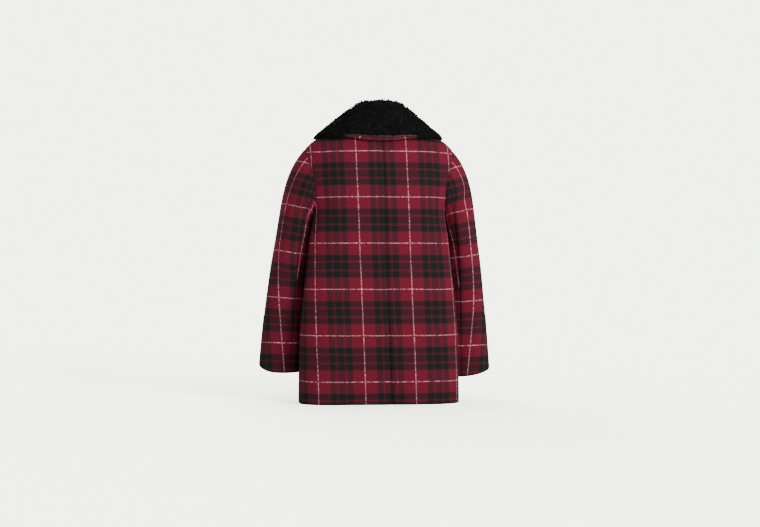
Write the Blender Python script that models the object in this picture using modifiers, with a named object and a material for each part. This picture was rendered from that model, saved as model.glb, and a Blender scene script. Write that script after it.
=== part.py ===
"""Plaid wool coat with a pile collar, held in the hollow form of a wearer.

Metres, +Z up. The front faces -Y, the wearer's left is +X. The origin is inside the neck, at the
height of the nape. Every cloth piece is a wall on one body surface, whose level sections are
rounded rectangles, or on the tube of a sleeve that leaves that surface at the armhole.
"""

import math

import bpy
import numpy as np
from mathutils import Matrix, Vector

# Cloth and making sizes.
WALL = 0.003
SEAM_GAP = 0.00017
ARMHOLE_GAP = 0.0003
EDGE_CELL = 0.004
COLLAR_SEAM_GAP = 0.0008

# Levels of the body.
HEM_Z = -0.724
ARMPIT_Z = -0.222
SHOULDER_TIP_Z = -0.057
NECK_POINT_Z = 0.004
SPLIT_Z = -0.275
VENT_TOP_Z = -0.526

# Level sections of the body: half the width, the depth behind and before the side seams, and how
# square the section is behind and before them, from 2 for an ellipse upwards.
BODY_COLUMNS = ("z", "half_width", "back", "front", "back_square", "front_square")
BODY = (
    (-0.724, 0.2115, 0.092, 0.099, 3.3, 2.7),
    (-0.640, 0.2105, 0.092, 0.100, 3.3, 2.7),
    (-0.548, 0.2085, 0.092, 0.101, 3.3, 2.7),
    (-0.424, 0.1970, 0.091, 0.102, 3.3, 2.7),
    (-0.371, 0.1920, 0.091, 0.102, 3.2, 2.7),
    (-0.297, 0.1845, 0.092, 0.103, 3.1, 2.7),
    (-0.222, 0.1750, 0.095, 0.103, 2.9, 2.7),
    (-0.177, 0.1910, 0.097, 0.101, 2.7, 2.6),
    (-0.140, 0.2030, 0.097, 0.097, 2.6, 2.6),
    (-0.100, 0.2060, 0.094, 0.090, 2.5, 2.5),
    (-0.075, 0.2020, 0.090, 0.083, 2.4, 2.4),
    (-0.057, 0.1960, 0.086, 0.077, 2.3, 2.3),
    (-0.048, 0.1880, 0.083, 0.074, 2.3, 2.3),
    (-0.040, 0.1800, 0.081, 0.071, 2.3, 2.3),
    (-0.0335, 0.1710, 0.079, 0.068, 2.2, 2.2),
    (-0.028, 0.1600, 0.077, 0.066, 2.2, 2.2),
    (-0.020, 0.1400, 0.073, 0.062, 2.2, 2.2),
    (-0.012, 0.1200, 0.070, 0.058, 2.1, 2.1),
    (-0.004, 0.1000, 0.066, 0.054, 2.1, 2.1),
    (0.004, 0.0800, 0.062, 0.050, 2.1, 2.1),
    (0.012, 0.0620, 0.056, 0.045, 2.1, 2.1),
    (0.020, 0.0480, 0.048, 0.040, 2.1, 2.1),
)

# The centre back seam leans to the wearer's right as it goes down.
BACK_SEAM_TOP_X = 0.0015
BACK_SEAM_LEAN = 0.0241

# Armhole: an egg in side view, wider low down.
ARMHOLE_BACK_REACH = 0.062
ARMHOLE_FRONT_REACH = 0.064
ARMHOLE_EGG = 0.12

# The front: the right side buttons over the left, which lies a wall and a gap further in.
OVERLAP = 0.022
UNDERLAP_SINK = WALL + 0.0010
SINK_RUN = 0.012
LAP_CLEAR = 0.002
BREAK_Z = -0.190
BREAK_RUN = 0.030
VENT_UNDERLAP = 0.036
VENT_SLANT = 0.030
VENT_STEP_UP = 0.018

# Vertical drape of the body: where each soft fold stands, seen from behind or before.
DRAPE_COLUMNS = ("side", "x", "top", "width", "rise")
DRAPE = (
    ("back", 0.148, -0.330, 0.040, 0.0045),
    ("back", 0.085, -0.430, 0.045, -0.0030),
    ("back", -0.075, -0.470, 0.040, 0.0030),
    ("back", -0.150, -0.300, 0.042, 0.0050),
    ("front", 0.150, -0.320, 0.045, 0.0045),
    ("front", 0.090, -0.420, 0.045, -0.0030),
    ("front", -0.095, -0.440, 0.045, -0.0030),
    ("front", -0.155, -0.340, 0.045, 0.0040),
)
DRAPE_FADE = 0.16

# Half of the collar, from the centre back to its front end: the neck seam, how high the roll
# stands above it, the place of the outer edge on the body, how far off the body that edge hangs,
# and how much of the collar shows below the pile.
COLLAR_COLUMNS = (
    "neck_x", "neck_y", "neck_z", "roll", "edge_x", "edge_y", "edge_z", "hang", "bare",
)
COLLAR = (
    (0.000, 0.068, -0.008, 0.071, 0.000, 0.085, -0.040, 0.013, 0.0120),
    (0.028, 0.063, -0.006, 0.067, 0.045, 0.083, -0.038, 0.013, 0.0110),
    (0.055, 0.046, 0.002, 0.051, 0.088, 0.073, -0.032, 0.011, 0.0050),
    (0.072, 0.025, 0.004, 0.036, 0.122, 0.052, -0.029, 0.009, 0.0025),
    (0.079, 0.008, 0.004, 0.028, 0.150, 0.028, -0.029, 0.007, 0.0025),
    (0.080, -0.006, 0.003, 0.026, 0.160, 0.002, -0.029, 0.006, 0.0025),
    (0.079, -0.022, -0.002, 0.025, 0.160, -0.028, -0.036, 0.006, 0.0025),
    (0.074, -0.038, -0.016, 0.025, 0.151, -0.048, -0.056, 0.006, 0.0025),
    (0.065, -0.052, -0.042, 0.022, 0.132, -0.068, -0.088, 0.006, 0.0025),
    (0.052, -0.066, -0.082, 0.018, 0.104, -0.083, -0.128, 0.006, 0.0025),
    (0.036, -0.080, -0.128, 0.014, 0.071, -0.093, -0.172, 0.006, 0.0025),
    (0.018, -0.092, -0.180, 0.010, 0.037, -0.100, -0.212, 0.006, 0.0025),
    (0.006, -0.097, -0.208, 0.007, 0.018, -0.102, -0.226, 0.006, 0.0025),
)
NECKLINE_END = ((0.000, -0.099, -0.222), (-OVERLAP, -0.101, SPLIT_Z))
PILE = 0.0095
PILE_EDGE = 0.0035
PILE_LIFT = 0.0009
PILE_ROUNDING = 0.012
BINDING_RADIUS = 0.0019

# Sleeves below the armhole: centre and half sizes of each section.
SLEEVE_COLUMNS = ("z", "x", "y", "half_across", "half_deep", "tilt")
SLEEVE = (
    (-0.236, 0.2190, -0.026, 0.0430, 0.0650, 8.0),
    (-0.297, 0.2275, -0.036, 0.0440, 0.0630, 6.0),
    (-0.371, 0.2369, -0.048, 0.0466, 0.0600, 5.0),
    (-0.424, 0.2419, -0.057, 0.0486, 0.0570, 5.0),
    (-0.509, 0.2482, -0.068, 0.0523, 0.0515, 6.0),
    (-0.594, 0.2540, -0.075, 0.0545, 0.0460, 8.0),
    (-0.643, 0.2560, -0.078, 0.0565, 0.0430, 10.0),
)
SLEEVE_LEAN_FORWARD = 5.0
LEFT_SLEEVE_DROP = -0.004
RIGHT_SLEEVE_DROP = 0.006
SLEEVE_DROP_RUN = 0.35
SLEEVE_SQUARENESS = 2.15
SLEEVE_GAP_ANGLE = 0.36

# The two lengthways sleeve seams, counted in cells of the armhole from under the arm.
BACK_ARM_SEAM = 4
FRONT_ARM_SEAM = 4

# Buttons on the centre front line.
BUTTON_Z = (-0.292, -0.412, -0.532)
BUTTON_RADIUS = 0.0140
BUTTON_THICK = 0.0042
BUTTON_STAND = 0.0004
BUTTON_HOLE_RADIUS = 0.0011
BUTTON_HOLE_SPREAD = 0.0026

# Grid counts.
ROWS_SKIRT = 5
ROWS_WAIST = 6
ROWS_HIGH = 14
ROWS_TO_ARMPIT = 2
COLUMNS_BACK_NECK = 5
COLUMNS_SHOULDER = 7
COLUMNS_FRONT = 12
COLLAR_STATIONS = 38
STAND_STEPS = 4
COLLAR_PROFILE = (0, 2, 6, 9, 12, 15, 18, 21, 24, 28, 33, 38, 43)
SLEEVE_CAP_RINGS = 6
SLEEVE_RINGS = 9

WOOL_RED = (0.19, 0.014, 0.030, 1.0)
PILE_BLACK = (0.006, 0.006, 0.007, 1.0)
BINDING_GREY = (0.020, 0.021, 0.023, 1.0)
BUTTON_BLACK = (0.010, 0.009, 0.009, 1.0)


def column(table, columns, name):
    """One named column of a table."""
    at = columns.index(name)
    return np.array([row[at] for row in table])


def smooth(places, values):
    """A curve through the values that never overshoots them, as a function of the place."""
    order = np.argsort(places)
    x, y = np.asarray(places, float)[order], np.asarray(values, float)[order]
    step, rise = np.diff(x), np.diff(y)
    slope = rise / step
    lean = np.zeros(len(x))
    lean[1:-1] = np.where(
        slope[:-1] * slope[1:] > 0,
        2 * slope[:-1] * slope[1:] / np.where(slope[:-1] + slope[1:] == 0, 1, slope[:-1] + slope[1:]),
        0,
    )
    lean[0], lean[-1] = slope[0], slope[-1]

    def at(place):
        place = np.clip(place, x[0], x[-1])
        i = np.clip(np.searchsorted(x, place) - 1, 0, len(step) - 1)
        t = (place - x[i]) / step[i]
        return (
            y[i] * (1 + 2 * t) * (1 - t) ** 2
            + lean[i] * step[i] * t * (1 - t) ** 2
            + y[i + 1] * t * t * (3 - 2 * t)
            + lean[i + 1] * step[i] * t * t * (t - 1)
        )

    return at


def body_column(name):
    return smooth(column(BODY, BODY_COLUMNS, "z"), column(BODY, BODY_COLUMNS, name))


half_width_at = body_column("half_width")
back_depth_at = body_column("back")
front_depth_at = body_column("front")
back_square_at = body_column("back_square")
front_square_at = body_column("front_square")


def section_at(z, behind):
    """Depth and squareness of the level section at a height, behind or before the side seams."""
    depth = np.where(behind, back_depth_at(z), front_depth_at(z))
    return depth, np.where(behind, back_square_at(z), front_square_at(z))


def body_field(p):
    """Below 0 inside the body's form, 0 on its surface and above 0 outside."""
    x, y, z = p[..., 0], p[..., 1], p[..., 2]
    depth, power = section_at(z, y >= 0)
    return ((np.abs(x) / half_width_at(z)) ** power + (np.abs(y) / depth) ** power) ** (1 / power) - 1


def body_gradient(p):
    reach = 1e-5
    sides = [
        (body_field(p + reach * axis) - body_field(p - reach * axis)) / (2 * reach)
        for axis in np.eye(3)
    ]
    return np.stack(sides, axis=-1)


def on_body(points, rounds=12):
    """The points moved straight onto the body's surface."""
    p = np.array(points, float)
    for _ in range(rounds):
        slope = body_gradient(p)
        p = p - slope * (body_field(p) / (slope * slope).sum(-1))[..., None]
    return p


def body_normal(points):
    slope = body_gradient(points)
    return slope / np.linalg.norm(slope, axis=-1, keepdims=True)


def ease(t):
    t = np.clip(t, 0, 1)
    return t * t * (3 - 2 * t)


def unit(vectors):
    return vectors / np.linalg.norm(vectors, axis=-1, keepdims=True)


def drape(points):
    """How far the soft vertical folds lift the cloth at each point."""
    x, y, z = points[..., 0], points[..., 1], points[..., 2]
    lift = np.zeros(x.shape)
    for side, place, top, width, rise in DRAPE:
        facing = y > 0 if side == "back" else y < 0
        share = ease((top - z) / DRAPE_FADE) * np.exp(-(((x - place) / width) ** 2))
        away_from_side_seam = ease(np.abs(y) / 0.04)
        lift = lift + np.where(facing, share * rise * away_from_side_seam, 0)
    return lift


def level_point(x, z, back):
    """The body's surface at a place across and a height, behind or before the side seams."""
    depth, power = section_at(z, back)
    inside = np.clip(1 - (np.abs(x) / half_width_at(z)) ** power, 0, 1)
    y = depth * inside ** (1 / power)
    return np.stack([x + 0 * z, y if back else -y, z + 0 * x], axis=-1)


def lengths(line):
    """Distance of each point of a line from its start."""
    return np.concatenate([[0], np.cumsum(np.linalg.norm(np.diff(line, axis=0), axis=1))])


def points_at(line, distances):
    along = lengths(line)
    return np.stack([np.interp(distances, along, line[:, k]) for k in range(3)], axis=1)


def even_stops(length, count, edge=0.0):
    """Distances evenly over a length, but for a narrow first cell where one is asked for."""
    if not edge:
        return np.linspace(0, length, count)
    return np.concatenate([[0], np.linspace(edge, length, count - 1)])


def spaced(line, count, edge=0.0):
    return points_at(line, even_stops(lengths(line)[-1], count, edge))


def curve_through(points, per_span=24):
    """A smooth line through a few points."""
    p = np.asarray(points, float)
    chord = np.concatenate([[0], np.cumsum(np.sqrt(np.linalg.norm(np.diff(p, axis=0), axis=1)))])
    slope = np.gradient(p, chord, axis=0)
    line = []
    for i in range(len(p) - 1):
        t = np.linspace(0, 1, per_span, endpoint=i == len(p) - 2)[:, None]
        step = chord[i + 1] - chord[i]
        line.append(
            p[i] * (1 + 2 * t) * (1 - t) ** 2
            + slope[i] * step * t * (1 - t) ** 2
            + p[i + 1] * t * t * (3 - 2 * t)
            + slope[i + 1] * step * t * t * (t - 1)
        )
    return np.concatenate(line)


def patch(left, right, bottom, top):
    """A grid of points between four border lines, rows from bottom to top."""
    s = np.linspace(0, 1, len(bottom))[None, :, None]
    t = np.linspace(0, 1, len(left))[:, None, None]
    across = (1 - s) * left[:, None] + s * right[:, None]
    upward = (1 - t) * bottom[None] + t * top[None]
    corners = (
        (1 - s) * (1 - t) * bottom[0]
        + s * (1 - t) * bottom[-1]
        + (1 - s) * t * top[0]
        + s * t * top[-1]
    )
    return across + upward - corners


def armhole(degrees, grow=0.0):
    """The armhole on the wearer's left: 0 at the shoulder tip, 90 behind, 180 under the arm."""
    a = np.radians(degrees)
    middle = (SHOULDER_TIP_Z + ARMPIT_Z) / 2
    half_high = (SHOULDER_TIP_Z - ARMPIT_Z) / 2 + grow
    reach = np.where(np.sin(a) >= 0, ARMHOLE_BACK_REACH, ARMHOLE_FRONT_REACH) + grow
    y = reach * np.sin(a) * (1 - ARMHOLE_EGG * np.cos(a))
    z = middle + half_high * np.cos(a)
    depth, power = section_at(z, y >= 0)
    x = half_width_at(z) * (1 - (np.abs(y) / depth) ** power) ** (1 / power)
    return np.stack([x, y, z], axis=-1)


def armhole_stops(back):
    """Angles from under the arm up to the shoulder tip, at even steps along the armhole."""
    sweep = np.linspace(180, 0, 361) if back else np.linspace(180, 360, 361)
    along = lengths(armhole(sweep))
    return np.interp(np.linspace(0, along[-1], ROWS_HIGH - ROWS_TO_ARMPIT + 1), along, sweep)


def side_border(back):
    """Side seam above the split, then the armhole, up to the shoulder tip."""
    gap = SEAM_GAP if back else -SEAM_GAP
    seam_z = np.linspace(SPLIT_Z, ARMPIT_Z - ARMHOLE_GAP, ROWS_TO_ARMPIT + 1)
    seam = np.stack([half_width_at(seam_z), 0 * seam_z + gap, seam_z], axis=1)
    hole = armhole(armhole_stops(back), ARMHOLE_GAP)
    hole[-1, 1] = gap
    return np.concatenate([seam, hole[1:]])


def shoulder_border(back, shares):
    """The shoulder seam from the neck point to the shoulder tip, at shares of its length."""
    gap = SEAM_GAP if back else -SEAM_GAP
    z = np.linspace(NECK_POINT_Z, SHOULDER_TIP_Z + ARMHOLE_GAP, 90)
    line = np.stack([half_width_at(z), 0 * z + gap, z], axis=1)
    return points_at(line, np.asarray(shares) * lengths(line)[-1])


def neckline():
    """The neck seam on the wearer's left, from the centre back to the end of the front overlap."""
    names = ("neck_x", "neck_y", "neck_z")
    points = np.stack([column(COLLAR, COLLAR_COLUMNS, name) for name in names], axis=1)
    return on_body(curve_through(np.concatenate([points, NECKLINE_END])))


def split_at_shoulder(line):
    """The behind and the before part of the neckline, each ending at the neck point."""
    crossing = int(np.argmax(line[:, 1] < 0))
    point = np.array([[float(half_width_at(NECK_POINT_Z)), 0.0, NECK_POINT_Z]])
    return np.concatenate([line[:crossing], point]), np.concatenate([point, line[crossing:]])


def back_seam_x(z):
    """Where the leaning centre back seam lies at a height."""
    return BACK_SEAM_TOP_X - BACK_SEAM_LEAN * (z / HEM_Z)


def mirrored(points):
    return points * np.array([-1.0, 1.0, 1.0])


def level_row(start_x, z, back, stops):
    """A level row of points on the body, from a place across to the side seam."""
    x = start_x + (float(half_width_at(z)) - start_x) * np.sin(np.linspace(0, math.pi / 2, 160))
    line = level_point(x, np.full_like(x, z), back)
    line[-1, 1] = SEAM_GAP if back else -SEAM_GAP
    return points_at(line, stops(lengths(line)[-1]))


def low_levels():
    """Heights of the level rows from the hem to the split, narrow at the hem and the vent top."""
    skirt = np.linspace(HEM_Z + EDGE_CELL, VENT_TOP_Z - VENT_SLANT, ROWS_SKIRT)
    waist = np.linspace(VENT_TOP_Z + VENT_STEP_UP, SPLIT_Z, ROWS_WAIST)
    return np.concatenate([[HEM_Z], skirt, [VENT_TOP_Z], waist])


def joined_rows(low, high):
    return np.concatenate([low, high[1:]])


def back_stops(length):
    return even_stops(length, COLUMNS_BACK_NECK + COLUMNS_SHOULDER + 1, EDGE_CELL)


def front_stops(length):
    """Distances from the front edge, with cells at the overlap and evenly from there."""
    lap = [0, EDGE_CELL, OVERLAP, 2 * OVERLAP + LAP_CLEAR, 2 * OVERLAP + LAP_CLEAR + SINK_RUN]
    rest = np.linspace(lap[-1], length, COLUMNS_FRONT - len(lap) + 2)[1:]
    return np.concatenate([lap, rest])


def back_panel(left):
    """The grid of one back panel, made on the wearer's left and mirrored for the right."""
    sign = 1 if left else -1
    low_z = low_levels()
    starts = sign * back_seam_x(low_z) + SEAM_GAP
    low = np.stack([level_row(x, z, True, back_stops) for x, z in zip(starts, low_z)])
    behind, _ = split_at_shoulder(neckline())
    centre_z = np.linspace(SPLIT_Z, behind[0, 2], ROWS_HIGH + 1)
    centre = level_point(sign * back_seam_x(centre_z) + SEAM_GAP, centre_z, True)
    behind = behind[behind[:, 0] > centre[-1, 0] + SEAM_GAP]
    neck = spaced(np.concatenate([centre[-1:], behind]), COLUMNS_BACK_NECK + 1)
    shoulder = shoulder_border(True, even_stops(1.0, COLUMNS_SHOULDER + 1))
    high = patch(centre, side_border(True), low[-1], np.concatenate([neck[:-1], shoulder]))
    grid = joined_rows(low, on_body_inside(high))
    return grid if left else mirrored(grid)


def on_body_inside(grid):
    """The inner points of a grid moved onto the body, its borders left as they are."""
    moved = grid.copy()
    moved[1:-1, 1:-1] = on_body(grid[1:-1, 1:-1])
    return moved


def front_panel():
    """The grid of one front panel, made on the wearer's left, past the centre by the overlap."""
    low = np.stack([level_row(-OVERLAP, z, False, front_stops) for z in low_levels()])
    _, before = split_at_shoulder(neckline())
    edge = spaced(before[::-1], ROWS_HIGH + 1)
    shares = lengths(low[-1]) / lengths(low[-1])[-1]
    high = patch(edge, side_border(False), low[-1], shoulder_border(False, shares))
    return joined_rows(low, on_body_inside(high))


def sunk_under(grid):
    """The left front, moved in where the right front laps over it."""
    past = ease((OVERLAP + LAP_CLEAR + SINK_RUN - grid[..., 0]) / SINK_RUN)
    below_break = ease((BREAK_Z - grid[..., 2]) / BREAK_RUN)
    return grid - body_normal(grid) * (UNDERLAP_SINK * past * below_break)[..., None]


def with_vent_underlap(grid):
    """The right back with its vent extension, which runs under the left back below the vent top."""
    z = grid[:, :, 2]
    seam_x = back_seam_x(z) - SEAM_GAP
    beside = ease(1 - (seam_x - grid[..., 0]) / SINK_RUN)
    sink = UNDERLAP_SINK * beside * ease((VENT_TOP_Z + VENT_STEP_UP - z) / VENT_STEP_UP)
    sunk = grid - body_normal(grid) * sink[..., None]
    seam = sunk[:, 0]
    own_side = sunk[:, 1] - seam
    plain = np.stack([seam, seam + own_side * 0.33, seam + own_side * 0.66], axis=1)
    reach = seam[:, None, 0] + VENT_UNDERLAP * np.array([1.0, 0.5, 0.0])[None, :]
    under = level_point(reach, z[:, :1] + 0 * reach, True)
    under = under - body_normal(under) * UNDERLAP_SINK
    below = (z[:, 0] < VENT_TOP_Z - 0.5 * VENT_SLANT)[:, None, None]
    return np.concatenate([np.where(below, under, plain), sunk[:, 1:]], axis=1)


def new_material(name, colour, roughness):
    material = bpy.data.materials.new(name)
    material.use_nodes = True
    shader = material.node_tree.nodes["Principled BSDF"]
    shader.inputs["Base Color"].default_value = colour
    shader.inputs["Roughness"].default_value = roughness
    shader.inputs["Metallic"].default_value = 0.0
    return material


def add_object(name, mesh, material):
    mesh.materials.append(material)
    made = bpy.data.objects.new(name, mesh)
    coat.objects.link(made)
    return made


def add_wall(name, outer, normals, material):
    """A closed cloth wall between a grid of points and the same grid moved in by the wall."""
    rows, columns = outer.shape[:2]
    inner = outer - normals * WALL
    turned = np.cross(outer[0, 1] - outer[0, 0], outer[1, 0] - outer[0, 0]) @ normals[0, 0] < 0
    count = rows * columns
    at = np.arange(count).reshape(rows, columns)
    faces = []
    for i in range(rows - 1):
        for j in range(columns - 1):
            a, b, c, d = at[i, j], at[i, j + 1], at[i + 1, j + 1], at[i + 1, j]
            faces += [[a, b, c], [a, c, d]]
            faces += [[c + count, b + count, a + count], [d + count, c + count, a + count]]
    rim = [*at[0, :-1], *at[:-1, -1], *at[-1, :0:-1], *at[:0:-1, 0]]
    for k, start in enumerate(rim):
        end = rim[(k + 1) % len(rim)]
        faces.append([start, start + count, end + count, end])
    if turned:
        faces = [face[::-1] for face in faces]
    points = [tuple(p) for p in np.concatenate([outer, inner]).reshape(-1, 3)]
    mesh = bpy.data.meshes.new(name)
    mesh.from_pydata(points, [], [[int(k) for k in face] for face in faces])
    mesh.shade_smooth()
    return add_object(name, mesh, material)


def add_loft(name, rings, material):
    """A closed solid over a row of closed rings, with flat ends."""
    count, around = rings.shape[:2]
    faces = [list(range(around))[::-1], list(range((count - 1) * around, count * around))]
    for i in range(count - 1):
        for j in range(around):
            k = (j + 1) % around
            a, b, c, d = i * around + j, i * around + k, (i + 1) * around + k, (i + 1) * around + j
            faces += [[a, b, c], [a, c, d]]
    mesh = bpy.data.meshes.new(name)
    mesh.from_pydata([tuple(p) for p in rings.reshape(-1, 3)], [], faces)
    mesh.shade_smooth()
    return add_object(name, mesh, material)


def grid_normals(grid):
    """Unit normals of a grid, from its own points."""
    along, across = np.gradient(grid, axis=0), np.gradient(grid, axis=1)
    return unit(np.cross(along, across))


def add_body_panel(name, grid):
    """A body panel as a draped wall."""
    normals = body_normal(grid)
    lifted = grid + normals * drape(grid)[..., None]
    return add_wall(name, lifted, normals, wool)


def sleeve_ring(z, degrees):
    """One section of the wearer's left sleeve: 0 outermost, 90 behind, 180 towards the body."""
    heights = column(SLEEVE, SLEEVE_COLUMNS, "z")
    value = {
        name: float(smooth(heights, column(SLEEVE, SLEEVE_COLUMNS, name))(z))
        for name in SLEEVE_COLUMNS[1:]
    }
    a = np.radians(degrees)
    power = 2 / SLEEVE_SQUARENESS
    x = value["half_across"] * np.sign(np.cos(a)) * np.abs(np.cos(a)) ** power
    y = value["half_deep"] * np.sign(np.sin(a)) * np.abs(np.sin(a)) ** power
    rise = math.tan(math.radians(value["tilt"])) * x - math.tan(math.radians(SLEEVE_LEAN_FORWARD)) * y
    return np.stack([value["x"] + x, value["y"] + y, z + rise], axis=-1)


def leaving_direction(degrees):
    """The way in which the sleeve head leaves the armhole seam."""
    a = np.radians(degrees)
    out = np.stack(
        [
            0.40 + 0.27 * np.cos(a) + 0.27 * np.sin(a) ** 2,
            0.27 * np.sin(a),
            -0.85 + 0.15 * np.cos(a),
        ],
        axis=-1,
    )
    return out / np.linalg.norm(out, axis=-1, keepdims=True)


def sleeve_grid(degrees):
    """Rings of the wearer's left sleeve from the armhole to the cuff, at the given angles."""
    seam = armhole(degrees, -ARMHOLE_GAP)
    under_arm = ease((np.abs(degrees % 360 - 180) - 100) / -70)[:, None]
    seam = seam + body_normal(seam) * ARMHOLE_GAP * 2 * under_arm
    top_z, cuff_z = SLEEVE[0][0], SLEEVE[-1][0]
    ring = sleeve_ring(top_z, degrees)
    below = sleeve_ring(top_z - 0.01, degrees)
    onward = (below - ring) / np.linalg.norm(below - ring, axis=-1, keepdims=True)
    reach = np.linalg.norm(ring - seam, axis=-1, keepdims=True)
    start, end = leaving_direction(degrees) * reach * 1.05, onward * reach
    rings = []
    for t in np.concatenate([[0, 0.035], np.linspace(0.14, 1, SLEEVE_CAP_RINGS - 1)]):
        rings.append(
            seam * (1 + 2 * t) * (1 - t) ** 2
            + start * t * (1 - t) ** 2
            + ring * t * t * (3 - 2 * t)
            + end * t * t * (t - 1)
        )
    for z in np.linspace(top_z, cuff_z + EDGE_CELL, SLEEVE_RINGS)[1:]:
        rings.append(sleeve_ring(z, degrees))
    rings.append(sleeve_ring(cuff_z, degrees))
    return np.stack(rings)


def sleeve_wall(degrees, drop):
    """The outer face of part of the sleeve, let down by the drop, and the way out of it."""
    grid = sleeve_grid(degrees)
    around = sleeve_grid(degrees + 0.5) - sleeve_grid(degrees - 0.5)
    outward = unit(np.cross(np.gradient(grid, axis=0), around))
    grid[..., 2] -= drop * ease((SLEEVE[0][0] - grid[..., 2]) / SLEEVE_DROP_RUN)
    return grid, outward


def collar_lines():
    """Neck seam, roll direction, height, and edge of the collar on the wearer's left, by station."""
    value = {name: column(COLLAR, COLLAR_COLUMNS, name) for name in COLLAR_COLUMNS}
    stations = np.arange(len(COLLAR), dtype=float)
    at = np.linspace(0, len(COLLAR) - 1, COLLAR_STATIONS // 2 + 1)
    at = len(COLLAR) - 1 - (len(COLLAR) - 1 - at)

    def line(*names):
        points = np.stack([value[name] for name in names], axis=1)
        slope = np.gradient(points, axis=0)
        slope[0, 1:] = 0
        i = np.clip(at.astype(int), 0, len(COLLAR) - 2)
        t = (at - i)[:, None]
        return (
            points[i] * (1 + 2 * t) * (1 - t) ** 2
            + slope[i] * t * (1 - t) ** 2
            + points[i + 1] * t * t * (3 - 2 * t)
            + slope[i + 1] * t * t * (t - 1)
        )

    neck = on_body(line("neck_x", "neck_y", "neck_z"))
    foot = on_body(line("edge_x", "edge_y", "edge_z"))
    roll = smooth(stations, value["roll"])(at)
    hang = smooth(stations, value["hang"])(at)
    bare = smooth(stations, value["bare"])(at)
    return neck, foot, roll, hang, bare, at / (len(COLLAR) - 1)


def collar_half():
    """Points of the collar's visible face on the wearer's left: stations by places on the profile."""
    neck, foot, roll, hang, bare, share = collar_lines()
    neck_normal, foot_normal = body_normal(neck), body_normal(foot)
    upright = np.array([0.0, 0.0, 1.0])
    tilt = ease((share - 0.15) / 0.45)[:, None]
    stand = (1 - tilt) * upright + tilt * neck_normal
    stand = stand / np.linalg.norm(stand, axis=-1, keepdims=True)
    edge = foot + foot_normal * hang[:, None]
    out = edge - neck
    flow = out - foot_normal * (out * foot_normal).sum(-1, keepdims=True)
    flow = flow / np.linalg.norm(flow, axis=-1, keepdims=True)
    inward = out - stand * (out * stand).sum(-1, keepdims=True)
    inward = -inward / np.linalg.norm(inward, axis=-1, keepdims=True)
    base = neck + (stand * 0.8 + neck_normal * 0.6) * COLLAR_SEAM_GAP
    height = roll[:, None]
    shoulder = base + stand * height * 0.5 + inward * height * 0.06
    lift = shoulder + stand * height * 1.15
    land = edge - flow * np.linalg.norm(edge - shoulder, axis=-1, keepdims=True) * 0.45
    rows = []
    for t in np.linspace(0, 1, STAND_STEPS, endpoint=False):
        rows.append(base + (shoulder - base) * t)
    for t in np.linspace(0, 1, COLLAR_PROFILE[-1] - STAND_STEPS + 1):
        rows.append(
            shoulder * (1 - t) ** 3
            + lift * 3 * t * (1 - t) ** 2
            + land * 3 * t * t * (1 - t)
            + edge * t**3
        )
    profile = np.stack(rows, axis=1)
    grid = []
    for line, strip in zip(profile, bare):
        along = lengths(line)
        stops = along[list(COLLAR_PROFILE)] * (1 - strip / along[-1])
        grid.append(points_at(line, np.concatenate([stops, along[-1:]])))
    return np.stack(grid)


def whole_collar():
    half = collar_half()
    return np.concatenate([mirrored(half[:0:-1]), half])


def pile_rings(face, normals):
    """Closed sections of the pile collar over the visible face of the wool collar."""
    place, away = face[:, 1:-1], normals[:, 1:-1]
    from_end = np.minimum(np.arange(len(face)), np.arange(len(face))[::-1])
    rings = []
    for row, normal, end in zip(place, away, from_end):
        along = lengths(row)
        reach = min(PILE_ROUNDING, 0.3 * along[-1])
        from_edge = np.clip(np.minimum(along, along[-1] - along) / reach, 0, 1)
        rounding = np.sqrt(1 - (1 - from_edge) ** 2)
        full = PILE_EDGE + (PILE - PILE_EDGE) * min(1.0, (0.2 + end) / 3) ** 0.5
        depth = PILE_EDGE * 0.6 + (full - PILE_EDGE * 0.6) * rounding
        inner = row + normal * PILE_LIFT
        outer = row + normal * (PILE_LIFT + depth)[:, None]
        rings.append(np.concatenate([inner, outer[::-1]]))
    return np.stack(rings)


def binding_line(face, normals):
    """The line of the binding, just past the pile's outer edge on the wool collar's face."""
    from_pile, to_edge = face[:, -2], unit(face[:, -1] - face[:, -2])
    return from_pile + to_edge * (BINDING_RADIUS + SEAM_GAP) + normals[:, -2] * (PILE_LIFT + BINDING_RADIUS)


def add_binding(name, line, material):
    curve = bpy.data.curves.new(name, "CURVE")
    curve.dimensions = "3D"
    spline = curve.splines.new("POLY")
    spline.points.add(len(line) - 1)
    for point, place in zip(spline.points, line):
        point.co = (*place, 1.0)
    curve.bevel_depth = BINDING_RADIUS
    curve.bevel_resolution = 1
    curve.use_fill_caps = True
    curve.materials.append(material)
    made = bpy.data.objects.new(name, curve)
    coat.objects.link(made)
    return made


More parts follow.
